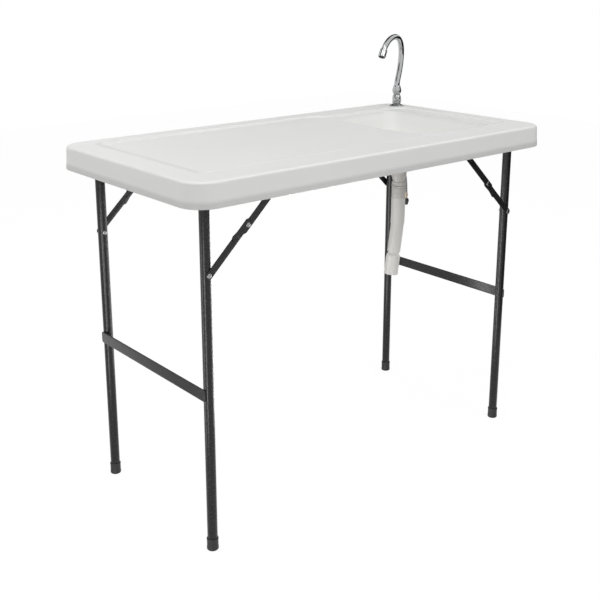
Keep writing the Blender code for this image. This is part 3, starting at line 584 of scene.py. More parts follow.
class Shape(Graph):
    """A Geometry Nodes tree with named inputs, which ends in its finish."""

    def __init__(self, name, **inputs):
        super().__init__(bpy.data.node_groups.new(name, "GeometryNodeTree"))
        face = self.tree.interface
        face.new_socket("Geometry", in_out="INPUT", socket_type="NodeSocketGeometry")
        for label, value in inputs.items():
            kind = "NodeSocketInt" if isinstance(value, int) else "NodeSocketFloat"
            face.new_socket(label, in_out="INPUT", socket_type=kind).default_value = value
        face.new_socket("finish", in_out="INPUT", socket_type="NodeSocketMaterial")
        face.new_socket("Geometry", in_out="OUTPUT", socket_type="NodeSocketGeometry")
        self.given = self.tree.nodes.new("NodeGroupInput")
        self.result = self.tree.nodes.new("NodeGroupOutput")

    def input(self, label):
        return Socket(self, self.given.outputs[label])

    def vector(self, **parts):
        return self.node("ShaderNodeCombineXYZ", None, parts)

    def join(self, *parts):
        joint = self.node("GeometryNodeJoinGeometry")
        for part in parts:
            self.tree.links.new(part.port, joint.port.node.inputs[0])
        return joint

    def end(self, geometry):
        solid = self.node("GeometryNodeRealizeInstances", None, {"Geometry": geometry})
        values = {"Geometry": solid, "Material": self.input("finish")}
        finished = self.node("GeometryNodeSetMaterial", None, values)
        self.tree.links.new(finished.port, self.result.inputs["Geometry"])

    def run(self, data, slot, wall=0.0, **values):
        """The tree's plain mesh on this curve or mesh, as a shell where it has a wall."""
        holder = placed(data.name, data)
        modifier = holder.modifiers.new("shape", "NODES")
        modifier.node_group = self.tree
        values["finish"] = looks[slot]
        for item in self.tree.interface.items_tree:
            if item.in_out == "INPUT" and item.name in values:
                modifier[item.identifier] = values[item.name]
        if wall:
            shell = holder.modifiers.new("wall", "SOLIDIFY")
            shell.thickness = wall
            shell.offset = -1.0
        return plain_mesh(holder)


def tube_shape():
    """A tube along a curve: a smooth sleeve, then a step down to a radius that shrinks at each rib."""
    sizes = {"radius": 0.01, "rib_depth": 0.0, "rib_pitch": 1.0, "sleeve": 0.0, "step": 0.0}
    tree = Shape("tube", sides=48, closed=1, spacing=0.002, **sizes)
    even = {"Curve": tree.input("Geometry"), "Length": tree.input("spacing")}
    line = tree.node("GeometryNodeResampleCurve", {"mode": "LENGTH"}, even)
    along = tree.node("GeometryNodeSplineParameter", output="Length")
    turn = along / tree.input("rib_pitch") * math.tau
    wave = tree.node("ShaderNodeMath", {"operation": "COSINE"}, {0: turn})
    valley = (wave * 0.5 + 0.5) * tree.input("rib_depth")
    round_line = {"Resolution": tree.input("sides"), "Radius": 1.0}
    ring = tree.node("GeometryNodeCurvePrimitiveCircle", None, round_line)
    values = {"Curve": line, "Profile Curve": ring, "Fill Caps": tree.input("closed")}
    bare = along > tree.input("sleeve")
    values["Scale"] = tree.input("radius") - bare * (valley + tree.input("step"))
    tree.end(tree.node("GeometryNodeCurveToMesh", None, values))
    return tree


def head_points(name, places):
    """Loose points for heads, each with the way it faces."""
    mesh = bpy.data.meshes.new(name)
    mesh.from_pydata([place for place, _ in places], [], [])
    facing = mesh.attributes.new("facing", "FLOAT_VECTOR", "POINT")
    for i, (_, way) in enumerate(places):
        facing.data[i].vector = way
    return mesh


def head_shape(name, cross):
    """Domed heads on points, with a cross recess where they are screws."""
    tree = Shape(name, radius=0.006, height=0.0024, recess=0.0012)
    radius, height = tree.input("radius"), tree.input("height")
    ball = tree.node("GeometryNodeMeshUVSphere", None, {"Segments": 32, "Rings": 16, "Radius": 1.0})
    size = tree.vector(X=radius, Y=radius, Z=height)
    head = tree.node("GeometryNodeTransform", None, {"Geometry": ball, "Scale": size})
    if cross:
        bars = []
        for long_x, long_y in ((1.1, 0.26), (0.26, 1.1)):
            size = tree.vector(X=radius * long_x, Y=radius * long_y, Z=tree.input("recess") * 2)
            bar = tree.node("GeometryNodeMeshCube", None, {"Size": size})
            raised = {"Geometry": bar, "Translation": tree.vector(Z=height)}
            bars.append(tree.node("GeometryNodeTransform", None, raised))
        values = {"Mesh 1": head, "Mesh 2": tree.join(*bars)}
        head = tree.node("GeometryNodeMeshBoolean", {"operation": "DIFFERENCE"}, values)
    way = tree.node("GeometryNodeInputNamedAttribute", {"data_type": "FLOAT_VECTOR"}, {"Name": "facing"})
    turn = tree.node("FunctionNodeAlignRotationToVector", {"axis": "Z"}, {"Vector": way})
    values = {"Points": tree.input("Geometry"), "Instance": head, "Rotation": turn}
    tree.end(tree.node("GeometryNodeInstanceOnPoints", None, values))
    return tree


def add_line(curve, points, closed=False):
    """Adds a straight line from each point to the next."""
    spline = curve.splines.new("POLY")
    spline.points.add(len(points) - 1)
    spline.use_cyclic_u = closed
    for knot, place in zip(spline.points, points):
        knot.co = (*place, 1.0)


def line_curve(name, points):
    """A curve through points."""
    data = bpy.data.curves.new(name, "CURVE")
    data.dimensions = "3D"
    add_line(data, points)
    return data


def ridged(low, high, rows, steps, radius):
    """A closed solid about Z whose radius is a function of angle and height."""
    rings = [[upright(low)]]
    for i in range(rows + 1):
        z = low + (high - low) * i / rows
        angles = [math.tau * k / steps for k in range(steps)]
        rings.append([Vector((radius(a, z) * math.cos(a), radius(a, z) * math.sin(a), z)) for a in angles])
    rings.append([upright(high)])
    bm = bmesh.new()
    skin(bm, rings)
    return bm


def plate(outline, thickness, holes=(), edge=0.0004):
    """A flat plate in XZ, centred on Y, with round holes and softened edges."""
    data = bpy.data.curves.new("plate", "CURVE")
    data.dimensions = "2D"
    data.fill_mode = "BOTH"
    data.extrude = thickness / 2 - edge
    data.bevel_depth = edge
    data.bevel_resolution = 2
    data.offset = -edge
    for loop in [outline] + [arc(*hole, 0, 360, 32)[:-1] for hole in holes]:
        add_line(data, [(place[0], place[1], 0.0) for place in loop], True)
    bm = bmesh.new()
    bm.from_mesh(plain_mesh(placed("plate", data)))
    bmesh.ops.remove_doubles(bm, verts=bm.verts, dist=TINY)
    return moved(bm, about("X", QUARTER))


def block(size, centre, edge, segments=3):
    """A box with rounded edges."""
    bm = bmesh.new()
    bmesh.ops.create_cube(bm, size=1.0)
    bmesh.ops.scale(bm, vec=size, verts=bm.verts)
    bmesh.ops.translate(bm, vec=centre, verts=bm.verts)
    bmesh.ops.bevel(bm, geom=bm.edges, offset=edge, segments=segments, affect="EDGES", profile=0.5)
    return bm


def combined(operation, shapes):
    """The first of several closed shapes after the others have acted on it."""
    first, *others = [placed("shape", outward_mesh("shape", bm)) for bm in shapes]
    for other in others:
        step = first.modifiers.new("step", "BOOLEAN")
        step.operation = operation
        step.solver = "EXACT"
        step.object = other
    bm = bmesh.new()
    bm.from_mesh(plain_mesh(first))
    for other in others:
        bpy.data.objects.remove(other)
    return bm


def merged(*shapes):
    """One mesh of several closed shapes, united where they cross."""
    return combined("UNION", shapes)


def pierced(*shapes):
    """The first shape less those that cut it."""
    return combined("DIFFERENCE", shapes)


def aimed(place, heading):
    """Turns a shape that hangs down -Z to a heading and sets it at a place."""
    turn = upright(-1).rotation_difference(heading).to_matrix().to_4x4()
    return at(place) @ turn


# Worktop


def rim_loop(grow, z):
    """Rounded rectangle round the top, grown by a distance."""
    loop = round_rectangle(TOP_LENGTH / 2 + grow, TOP_WIDTH / 2 + grow, CORNER_R + grow, 20)
    return [Vector((p.x, p.y, z)) for p in loop]


def work_outline():
    """Edge of the recess, counter-clockwise: work surface and sink ledge in one."""
    left, front, back = -0.530, -0.217, 0.250
    right, ledge = 0.554, 0.2135
    front_r, ledge_r, back_r = 0.012, 0.035, 0.016
    loop = arc(left + front_r, front + front_r, front_r, 180, 270, 8)
    loop += arc(right - ledge_r, front + ledge_r, ledge_r, 270, 360, 12)
    loop += arc(right - ledge_r, ledge - ledge_r, ledge_r, 0, 90, 12)
    shoulder = Vector((0.242, ledge, 0))
    bend = Vector((0.184, back, 0))
    loop.append(shoulder)
    leave, meet = Vector((0.016, 0, 0)), Vector((0.028, 0, 0))
    loop += curve_between(shoulder, shoulder - leave, bend + meet, bend, 16)
    loop += arc(left + back_r, back - back_r, back_r, 90, 180, 8)
    return loop


def bowl_loop(inset, z):
    """One ring of the sink bowl, whose left side bows out; its rim is tight at the front and the back."""
    left, right = 0.238 + inset, 0.5035 - inset
    half = 0.205 - (inset if inset > 0 else inset * 0.3)
    r_right, r_left = 0.045, 0.022 + max(inset, 0.0) * 0.8
    loop = arc(right - r_right, half - r_right, r_right, 0, 90, 14)
    loop += arc(left + r_left, half - r_left, r_left, 90, 180, 10)
    rows = 24
    for i in range(1, rows):
        loop.append(Vector((left, (half - r_left) * (1 - 2 * i / rows), 0)))
    loop += arc(left + r_left, -half + r_left, r_left, 180, 270, 10)
    loop += arc(right - r_right, -half + r_right, r_right, 270, 360, 14)
    middle, bow = 0.364, 0.017
    out = []
    for p in loop:
        weight = clamped((middle - p.x) / (middle - left))
        out.append(Vector((p.x - bow * weight * max(0.0, 1 - (p.y / half) ** 2), p.y, z)))
    return out


# Inset and share of the depth along the bowl's side
BOWL_SIDE = (
    (-0.0065, 0.0),
    (-0.0035, 0.012),
    (-0.0005, 0.07),
    (0.003, 0.24),
    (0.0085, 0.62),
    (0.0145, 0.84),
    (0.022, 0.935),
    (0.033, 0.963),
    (0.046, 0.977),
)


def bowl_depth_at(t):
    """Inset and share of the depth on a smooth line through the bowl's side, from its rim to its floor."""
    last = len(BOWL_SIDE) - 1
    i = min(int(t * last), last - 1)
    u = t * last - i
    near = [BOWL_SIDE[max(0, min(last, k))] for k in (i - 1, i, i + 1, i + 2)]
    out = []
    for a, b, c, d in zip(*near):
        bend = 2 * a - 5 * b + 4 * c - d
        twist = 3 * b - a - 3 * c + d
        out.append(0.5 * (2 * b + (c - a) * u + bend * u * u + twist * u**3))
    return out


def ring_round(loop, radius, z):
    """A circle round the drain with one point for each point of a loop."""
    out = []
    for p in loop:
        away = (p.to_2d() - DRAIN.to_2d()).normalized() * radius
        out.append(Vector((DRAIN.x + away.x, DRAIN.y + away.y, z)))
    return out


def bowl_rings(wall):
    """The bowl from its rim to the drain hole: its inner side, or its outer side where it has a wall."""
    depth = WORK_Z - BOWL_FLOOR
    rows = 28
    rings = []
    if not wall:
        rings.append(bowl_loop(-0.0080, WORK_Z))
    for i in range(rows + 1):
        inset, share = bowl_depth_at(i / rows)
        z = WORK_Z - depth * share - wall * share
        if wall and z > DECK - 0.004:
            continue
        rings.append(bowl_loop(inset - wall, z))
    if wall:
        rings.insert(0, bowl_loop(-wall - 0.0045, DECK))
        rings.insert(0, bowl_loop(-wall - 0.0060, DECK))
    floor = BOWL_FLOOR - wall
    seat_r, edge_r = 0.0345, 0.0330
    last = rings[-1]
    for share in (0.35, 0.7, 0.93):
        goal = ring_round(last, seat_r, floor)
        rings.append([a.lerp(b, share) for a, b in zip(last, goal)])
        for p in rings[-1]:
            p.z = last[0].z + (floor - last[0].z) * min(1.0, share * 1.04)
    for radius in (seat_r, edge_r, DRAIN_HOLE_R + 0.0004):
        rings.append(ring_round(last, radius, floor))
    rings.append(ring_round(last, DRAIN_HOLE_R, floor + (0.0004 if wall else -0.0004)))
    return rings


def sides(loop):
    """How far each point of a counter-clockwise loop faces the front and the left."""
    out = []
    for i in range(len(loop)):
        along = (loop[(i + 1) % len(loop)] - loop[i - 1]).normalized()
        out.append((max(0.0, along.x), max(0.0, -along.y)))
    return out


# Inset from the recess's edge and rise above the top, over the bead and down to the work surface
BEAD = (
    (-0.0135, 0.0),
    (-0.0110, 0.0004),
    (-0.0085, 0.0012),
    (-0.0060, 0.0020),
    (-0.0038, 0.0023),
    (-0.0018, 0.0017),
    (0.0000, 0.0002),
    (0.0012, -0.0014),
    (0.0024, -0.0029),
    (0.0036, -0.0039),
    (0.0048, -0.0044),
    (0.0058, -0.0045),
)

# Rows of the skin with painted light, and by how much: above 0 a painted highlight makes the white brighter,
# below 0 painted shade makes it darker
LIP_ROWS = slice(9, 18)
RIM_ROWS = slice(-9, -2)
BEAD_ROWS = slice(1, 6)
LIP_SHADE = 0.8
RIM_FRONT_HIGHLIGHT = 0.8
RIM_SIDE_HIGHLIGHT = 0.3
BEAD_SIDE_SHADE = 0.45
BEAD_HIGHLIGHT_END = 0.225
BEAD_HIGHLIGHT_FADE = 0.02
BEAD_HIGHLIGHT_REACH = 0.5
BEAD_HIGHLIGHT_LEAST = 0.2
BOWL_SHADE = 0.42
BOWL_SHADE_ROWS = 18


def skirt_rings():
    """The moulding's skin from under the deck down the skirt's inside, round its lip and up over the rim."""
    base = TOP_HEIGHT - SKIRT_DEPTH
    lip, edge, root = 0.0028, 0.0072, 0.0056
    low, high = base + lip, TOP_HEIGHT - edge
    inner = -SKIRT_WALL

    def flare(z):
        return SKIRT_FLARE * (TOP_HEIGHT - z) / SKIRT_DEPTH

    rings = [rim_loop(inner - 0.0080, DECK)]
    for a in map(math.radians, (0, 15, 35, 55, 75, 90)):
        rings.append(rim_loop(inner - 0.0062 + root * math.sin(a), DECK - root * (1 - math.cos(a))))
    rings.append(rim_loop(SKIRT_FLARE + inner, low))
    for a in map(math.radians, (20, 45, 70, 90)):
        rings.append(rim_loop(SKIRT_FLARE + inner + lip * (1 - math.cos(a)), base + lip * (1 - math.sin(a))))
    for a in map(math.radians, (90, 70, 45, 20, 0)):
        rings.append(rim_loop(SKIRT_FLARE - lip * (1 - math.cos(a)), base + lip * (1 - math.sin(a))))
    for i in range(1, 6):
        z = low + (high - low) * i / 6
        rings.append(rim_loop(flare(z), z))
    for i in range(13):
        a = math.radians(90 * i / 12)
        rings.append(rim_loop(flare(high) - edge * (1 - math.cos(a)), high + edge * math.sin(a)))
    rings.append(rim_loop(flare(high) - edge - 0.0008, TOP_HEIGHT))
    return rings


def build_worktop():
    bm = bmesh.new()
    wear = bm.verts.layers.float.new("wear")
    outer = skin(bm, skirt_rings())
    # Painted shade along the skirt's lip, and a painted highlight along the rim's rounded edge, strongest at
    # the front
    for row in outer[LIP_ROWS]:
        for vert in row:
            vert[wear] = -LIP_SHADE
    for row in outer[RIM_ROWS]:
        for vert, (front, side) in zip(row, sides(rim_loop(0.0, 0.0))):
            vert[wear] = RIM_FRONT_HIGHLIGHT * front + RIM_SIDE_HIGHLIGHT * side

    outline = work_outline()
    recess = skin(bm, [shifted(outline, inset, TOP_HEIGHT + rise) for inset, rise in BEAD])
    # Painted highlight along the front of the bead round the recess, fading towards its ends, and painted
    # shade along its left side
    for row in recess[BEAD_ROWS]:
        for vert, (front, side) in zip(row, sides(outline)):
            x = vert.co.x
            fade = clamped((x + BEAD_HIGHLIGHT_REACH) / BEAD_HIGHLIGHT_REACH, BEAD_HIGHLIGHT_LEAST)
            fade = clamped((BEAD_HIGHLIGHT_END - x) / BEAD_HIGHLIGHT_FADE) * fade
            vert[wear] = front * fade - BEAD_SIDE_SHADE * side
    rings = bowl_rings(0.0)
    inside = skin(bm, rings)
    # Painted shade down the upper part of the bowl's right wall, which faces left
    for i, row in enumerate(inside[:BOWL_SHADE_ROWS]):
        shade = BOWL_SHADE * min(1.0, i / 3) * (1 - i / BOWL_SHADE_ROWS)
        for vert, (_, left) in zip(row, sides(rings[i][::-1])[::-1]):
            vert[wear] = -shade * left
    outside = skin(bm, bowl_rings(BOWL_WALL))
    chamfer = 0.0005
    tap = skin(bm, [
        circle(TAP, TAP_HOLE_R + chamfer, TOP_HEIGHT),
        circle(TAP, TAP_HOLE_R, TOP_HEIGHT - chamfer),
        circle(TAP, TAP_HOLE_R, DECK + chamfer),
        circle(TAP, TAP_HOLE_R + chamfer, DECK),
    ])
    bridge(bm, inside[-1], outside[-1])
    fill(bm, outer[-1], recess[0], tap[0])
    fill(bm, recess[-1], inside[0])
    fill(bm, outer[0], outside[0], tap[-1])
    return piece("worktop", bm, "moulded_white", "table", "tabletop", sharp=35)


build_worktop()

# Drain


def wavy(radius, depth, count, low, high):
    """A radius with grips round it between two heights."""

    def at_angle(a, z):
        inside = low < z < high
        return radius - (depth * max(0.0, math.cos(count * a)) ** 2 if inside else depth * 0.5)

    return at_angle


def build_strainer():
    seat = BOWL_FLOOR + GAP
    rim = seat + 0.0025
    sieve = BOWL_FLOOR - 0.0030
    top = sieve + 0.0025
    tail_in = TAIL_R - 0.0024
    end = BOWL_FLOOR - TAIL_LENGTH
    profile = [(0, top), (tail_in - 0.0030, top), (tail_in + 0.0005, rim)]
    profile += [(FLANGE_RIM_R - 0.003, rim), (FLANGE_RIM_R, seat), (TAIL_R, seat)]
    profile += [(TAIL_R, end), (tail_in, end), (tail_in, sieve), (0, sieve)]
    mesh = outward_mesh("strainer", moved(turned(profile, FINE, soft=0.0006), at(DRAIN)))
    tree = Shape("perforations", count=8, reach=tail_in * 0.56, radius=0.0030)
    values = {"Vertices": tree.input("count"), "Radius": tree.input("reach")}
    ring = tree.node("GeometryNodeMeshCircle", None, values)
    middle = tree.node("GeometryNodeMeshLine", None, {"Count": 1})
    values = {"Vertices": 24, "Radius": tree.input("radius"), "Depth": 0.02}
    drill = tree.node("GeometryNodeMeshCylinder", None, values)
    values = {"Points": tree.join(ring, middle), "Instance": drill}
    drills = tree.node("GeometryNodeInstanceOnPoints", None, values)
    values = {"Geometry": drills, "Translation": (DRAIN.x, DRAIN.y, sieve)}
    drills = tree.node("GeometryNodeTransform", None, values)
    values = {"Mesh 1": tree.input("Geometry"), "Mesh 2": drills}
    tree.end(tree.node("GeometryNodeMeshBoolean", {"operation": "DIFFERENCE", "solver": "EXACT"}, values))
    dressed("strainer", tree.run(mesh, "drain_white"), "drain_white", "table", "drain_flange", sharp=30)


def build_drain_nut():
    low = ADAPTER_TOP + GAP
    height, radius = 0.011, 0.0315
    nut = hollow(TAIL_R + GAP, radius, low, low + height, FINE, 0.0008)
    lugs = []
    for i in range(6):
        lug = block((0.010, 0.006, height), (radius, 0, low + height / 2), 0.0008)
        lugs.append(moved(lug, about("Z", math.tau * i / 6)))
    piece("drain_nut", moved(merged(nut, *lugs), at(DRAIN)), "drain_white", "table", "drain_locknut")


def build_drain_pipe():
    bore = TAIL_R + GAP
    low = ADAPTER_TOP - ADAPTER_LENGTH
    shelf = BOWL_FLOOR - TAIL_LENGTH - GAP
    socket = bore + 0.0030
    waist = socket - 0.0008
    end = ADAPTER_END_R - 0.0008
    profile = [(PIPE_BORE_R, low), (PIPE_BORE_R, shelf - 0.012), (bore - 0.0012, shelf), (bore, shelf)]
    profile += [(bore, ADAPTER_TOP), (socket, ADAPTER_TOP), (socket, ADAPTER_TOP - 0.006)]
    profile += [(waist, ADAPTER_TOP - 0.0075), (waist, shelf - 0.003), (socket - 0.0016, shelf - 0.008)]
    profile += [(0.0226, low + 0.0350), (end, low + 0.0200), (end, low + 0.0060)]
    profile += [(RING_R - 0.0008, low + 0.0045), (RING_R - 0.0002, low + 0.0036), (RING_R - 0.0002, low)]
    pipe = turned(profile, FINE, True, 0.0007)
    grips = wavy(RING_R, 0.0010, 12, low + 0.0080, low + 0.0160)
    ring = ridged(low + 0.0074, low + 0.0166, 14, 144, grips)
    ring = pierced(ring, plug(PIPE_BORE_R + 0.001, low, low + 0.03, 48))
    pipe = moved(merged(pipe, ring), at(DRAIN))
    piece("drain_pipe", pipe, "drain_white", "table", "drain_adapter", sharp=32)


def build_drain_hose():
    top = ADAPTER_TOP - ADAPTER_LENGTH - GAP
    low = top - COLLAR_LENGTH
    wide = HOSE_R - 0.0004
    narrow = wide - 0.0006
    profile = [(PIPE_BORE_R, low), (PIPE_BORE_R, top), (wide - 0.0014, top), (wide, top - 0.0012)]
    profile += [(wide, low + 0.0155), (narrow, low + 0.0148), (narrow, low + 0.0138)]
    profile += [(wide, low + 0.0131), (wide, low + 0.0012), (wide - 0.0008, low)]
    sleeve = moved(turned(profile, FINE, True, 0.0004), at(DRAIN))
    piece("hose_sleeve", sleeve, "drain_white", "table", "hose_collar", sharp=50)

    run = hose_path(low - GAP)
    steps = 80
    points = [run(HOSE_LENGTH * i / steps)[0] + DRAIN for i in range(steps + 1)]
    mesh = tubes.run(
        line_curve("ribbed_hose", points),
        "hose_white",
        wall=HOSE_R - HOSE_RIB_DEPTH - HOSE_BORE_R,
        radius=HOSE_R,
        rib_depth=HOSE_RIB_DEPTH,
        rib_pitch=HOSE_LENGTH / HOSE_RIBS,
        sleeve=HOSE_SLEEVE,
        step=0.0010,
        sides=64,
        spacing=HOSE_LENGTH / (10 * HOSE_RIBS),
        closed=False,
    )
    dressed("ribbed_hose", mesh, "hose_white", "table", "drain_hose", sharp=60)

    end, heading = run(HOSE_LENGTH)
    inner, mouth, stub = 0.0128, 0.0147, 0.0160
    body = CUFF_R - 0.0002
    profile = [(inner, -CUFF_LENGTH), (inner, 0.012), (mouth, 0.012), (mouth, 0), (stub, 0), (stub, -0.0035)]
    profile += [(CUFF_R - 0.0010, -0.0110), (body, -0.020), (body, -CUFF_LENGTH + 0.006)]
    profile += [(CUFF_R, -CUFF_LENGTH + 0.0052), (CUFF_R, -CUFF_LENGTH + 0.001)]
    profile += [(CUFF_R - 0.0006, -CUFF_LENGTH)]
    cuff = moved(turned(profile, FINE, True, 0.0006), aimed(DRAIN + end + heading * GAP, heading))
    piece("hose_cuff", cuff, "hose_white", "table", "drain_hose_cuff", sharp=50)


def hose_path(start):
    """Centreline of the drain hose by distance: straight out of its collar, then easing into its lean."""
    straight = 2 * HOSE_R
    steps = 24

    def heading(s):
        share = clamped((s - straight) / HOSE_BEND)
        a = HOSE_LEAN * share * share * (3 - 2 * share)
        return Vector((-math.sin(a), 0, -math.cos(a)))

    def point(s):
        place = upright(start - min(s, straight))
        run = max(0.0, s - straight)
        for i in range(steps):
            place += heading(straight + run * (i + 0.5) / steps) * run / steps
        return place, heading(s)

    return point


# Tap


def spout_path(start, clear):
    """Centreline of the gooseneck: upright out of the nut, leaning back, then over in an arch."""
    face = facing(SPOUT_FACE)
    up = upright(1)

    def point(reach, height):
        return face * reach + up * (TOP_HEIGHT + height)

    leave = up * (clear + 0.001)
    mast = point(-0.0258, 0.1560)
    crown = point(0.0245, 0.2248)
    tip = point(0.1070, 0.1810)
    lean = math.radians(7.0)
    fall_angle = math.radians(58.5)
    rise = (up * math.cos(lean) - face * math.sin(lean)) * 0.050
    fall = (face * math.cos(fall_angle) - up * math.sin(fall_angle)) * 0.030
    path = [up * start, leave]
    path += curve_between(leave, leave + up * 0.020, mast - rise, mast, 30)
    path += curve_between(mast, mast + rise, crown - face * 0.0305, crown, 36)
    path += curve_between(crown, crown + face * 0.0355, tip - fall, tip, 40)
    return path


def build_tap_body():
    low = TOP_HEIGHT + GAP
    bore = TAP_HOLE_R
    base = low + BASE_HEIGHT
    step = base - GAP
    profile = [(bore, low), (bore, step), (BODY_R + 0.0005, step), (BODY_R + 0.003, base - 0.0012)]
    profile += [(0.0212, low + 0.0034), (0.0235, low + 0.0022), (0.0250, low + 0.0012), (0.0250, low)]
    ring = moved(turned(profile, FINE, True, 0.0006), at(TAP))
    piece("tap_base", ring, "chrome", "table", "faucet_escutcheon", sharp=60)

    crown = base + BODY_HEIGHT
    groove = BODY_R - 0.0009
    profile = [(0, base), (BODY_R - 0.0015, base), (BODY_R - 0.0004, base + 0.004), (BODY_R, base + 0.012)]
    profile += [(BODY_R, crown - 0.0085), (groove, crown - 0.0080), (groove, crown - 0.0068)]
    profile += [(BODY_R, crown - 0.0062), (BODY_R - 0.0006, crown - 0.0050)]
    profile += [(BODY_R - 0.0016, crown - 0.0016), (BODY_R - 0.0030, crown), (0, crown)]
    body = turned(profile, FINE, soft=0.0012)
    profile = [(0, 0.004), (BOSS_R, 0.004), (BOSS_R, BOSS_REACH - 0.0016)]
    profile += [(BOSS_R - 0.001, BOSS_REACH), (0, BOSS_REACH)]
    across = about("Z", TAP_FACE) @ about("Y", QUARTER)
    boss = moved(turned(profile, soft=0.0006), at(upright(base + BOSS_RISE)) @ across)
    piece("tap_body", moved(merged(body, boss), at(TAP)), "chrome", "table", "faucet_body")

    profile = [(0, 0), (0.0070, 0), (0.0074, 0.0015), (0.0066, 0.0092), (0.0052, 0.0105), (0, 0.0105)]
    hub = turned(profile, soft=0.0009)
    bar = block(HANDLE, (0, 0, 0.0064), 0.0022, 5)
    seat = TAP + upright(base + BOSS_RISE) + facing(TAP_FACE) * (BOSS_REACH + GAP)
    turn = about("Z", TAP_FACE + QUARTER) @ about("X", QUARTER)
    piece("tap_handle", moved(merged(hub, bar), at(seat) @ turn), "chrome", "faucet_knob", "faucet_handle")


def build_spout():
    low = TOP_HEIGHT + GAP + BASE_HEIGHT + BODY_HEIGHT + GAP
    top = low + NUT_HEIGHT
    mouth = SPOUT_R + 0.0004
    socket = top - NUT_SOCKET
    profile = [(0, low), (NUT_R - 0.0044, low), (NUT_R - 0.0040, low + 0.0020)]
    profile += [(NUT_R - 0.0010, low + NUT_HEIGHT * 0.28), (NUT_R, low + NUT_HEIGHT * 0.5)]
    profile += [(NUT_R - 0.0022, top - 0.0075), (mouth + 0.0022, top - 0.0025), (mouth + 0.0012, top)]
    profile += [(mouth, top), (mouth, socket), (0, socket)]
    nut = moved(turned(profile, FINE, soft=0.0016), at(TAP))
    piece("swivel_nut", nut, "chrome", "table", "faucet_swivel_nut", sharp=50)

    path = [p + TAP for p in spout_path(socket + GAP, top)]
    mesh = tubes.run(line_curve("gooseneck", path), "chrome", radius=SPOUT_R, sides=64, spacing=0.0015)
    dressed("gooseneck", mesh, "chrome", "faucet_spout_arm", "faucet_spout", sharp=60)

    end = path[-1]
    heading = (path[-1] - path[-2]).normalized()
    inner, throat, cup = AERATOR_R - 0.0022, SPOUT_R - 0.0020, SPOUT_R + 0.0004
    groove = AERATOR_R - 0.0009
    profile = [(inner, -AERATOR_LENGTH), (inner, -0.0150), (throat, -0.0150), (throat, -AERATOR_SOCKET)]
    profile += [(cup, -AERATOR_SOCKET), (cup, 0), (AERATOR_R - 0.0012, 0)]
    profile += [(AERATOR_R - 0.0002, -0.0020), (AERATOR_R - 0.0002, -0.0050), (groove, -0.0058)]
    profile += [(groove, -0.0066), (AERATOR_R - 0.0001, -0.0074), (AERATOR_R, -AERATOR_LENGTH + 0.0010)]
    profile += [(AERATOR_R - 0.0010, -AERATOR_LENGTH)]
    place = aimed(end - heading * (AERATOR_SOCKET - GAP), heading)
    sleeve = moved(turned(profile, FINE, True, 0.0004), place)
    piece("aerator_sleeve", sleeve, "chrome", "faucet_spout_arm", "aerator_housing", sharp=50)


def build_shank():
    top = DECK - GAP - WASHER_T - GAP
    low = top - TAP_NUT_HEIGHT
    half_flat = TAP_NUT_AF / 2
    chamfer, slope = 0.0004, 1.7

    def hexagon(a, z):
        flat = half_flat / math.cos((a + math.pi / 6) % (math.pi / 3) - math.pi / 6)
        return min(flat, half_flat + chamfer + min(z - low, top - z) * slope)

    nut = ridged(low, top, 20, 96, hexagon)
    nut = pierced(nut, plug(TAP_HOLE_R, top - 0.03, top + 0.03, 48))
    piece("shank_nut", moved(nut, at(TAP)), "brass", "table", "shank_locknut", sharp=25)

    pitch, depth, run_out = 0.0014, 0.0007, 0.001

    def thread(a, z):
        turn_share = (z / pitch - a / math.tau) % 1.0
        fade = min(clamped((z - SHANK_LOW) / run_out), clamped((DECK - z) / run_out))
        return SHANK_R - depth * fade * abs(2 * turn_share - 1)

    shank = ridged(SHANK_LOW, TOP_HEIGHT + GAP + BASE_HEIGHT - GAP, 320, 40, thread)
    piece("tap_shank", moved(shank, at(TAP)), "brass", "table", "faucet_shank", sharp=60)


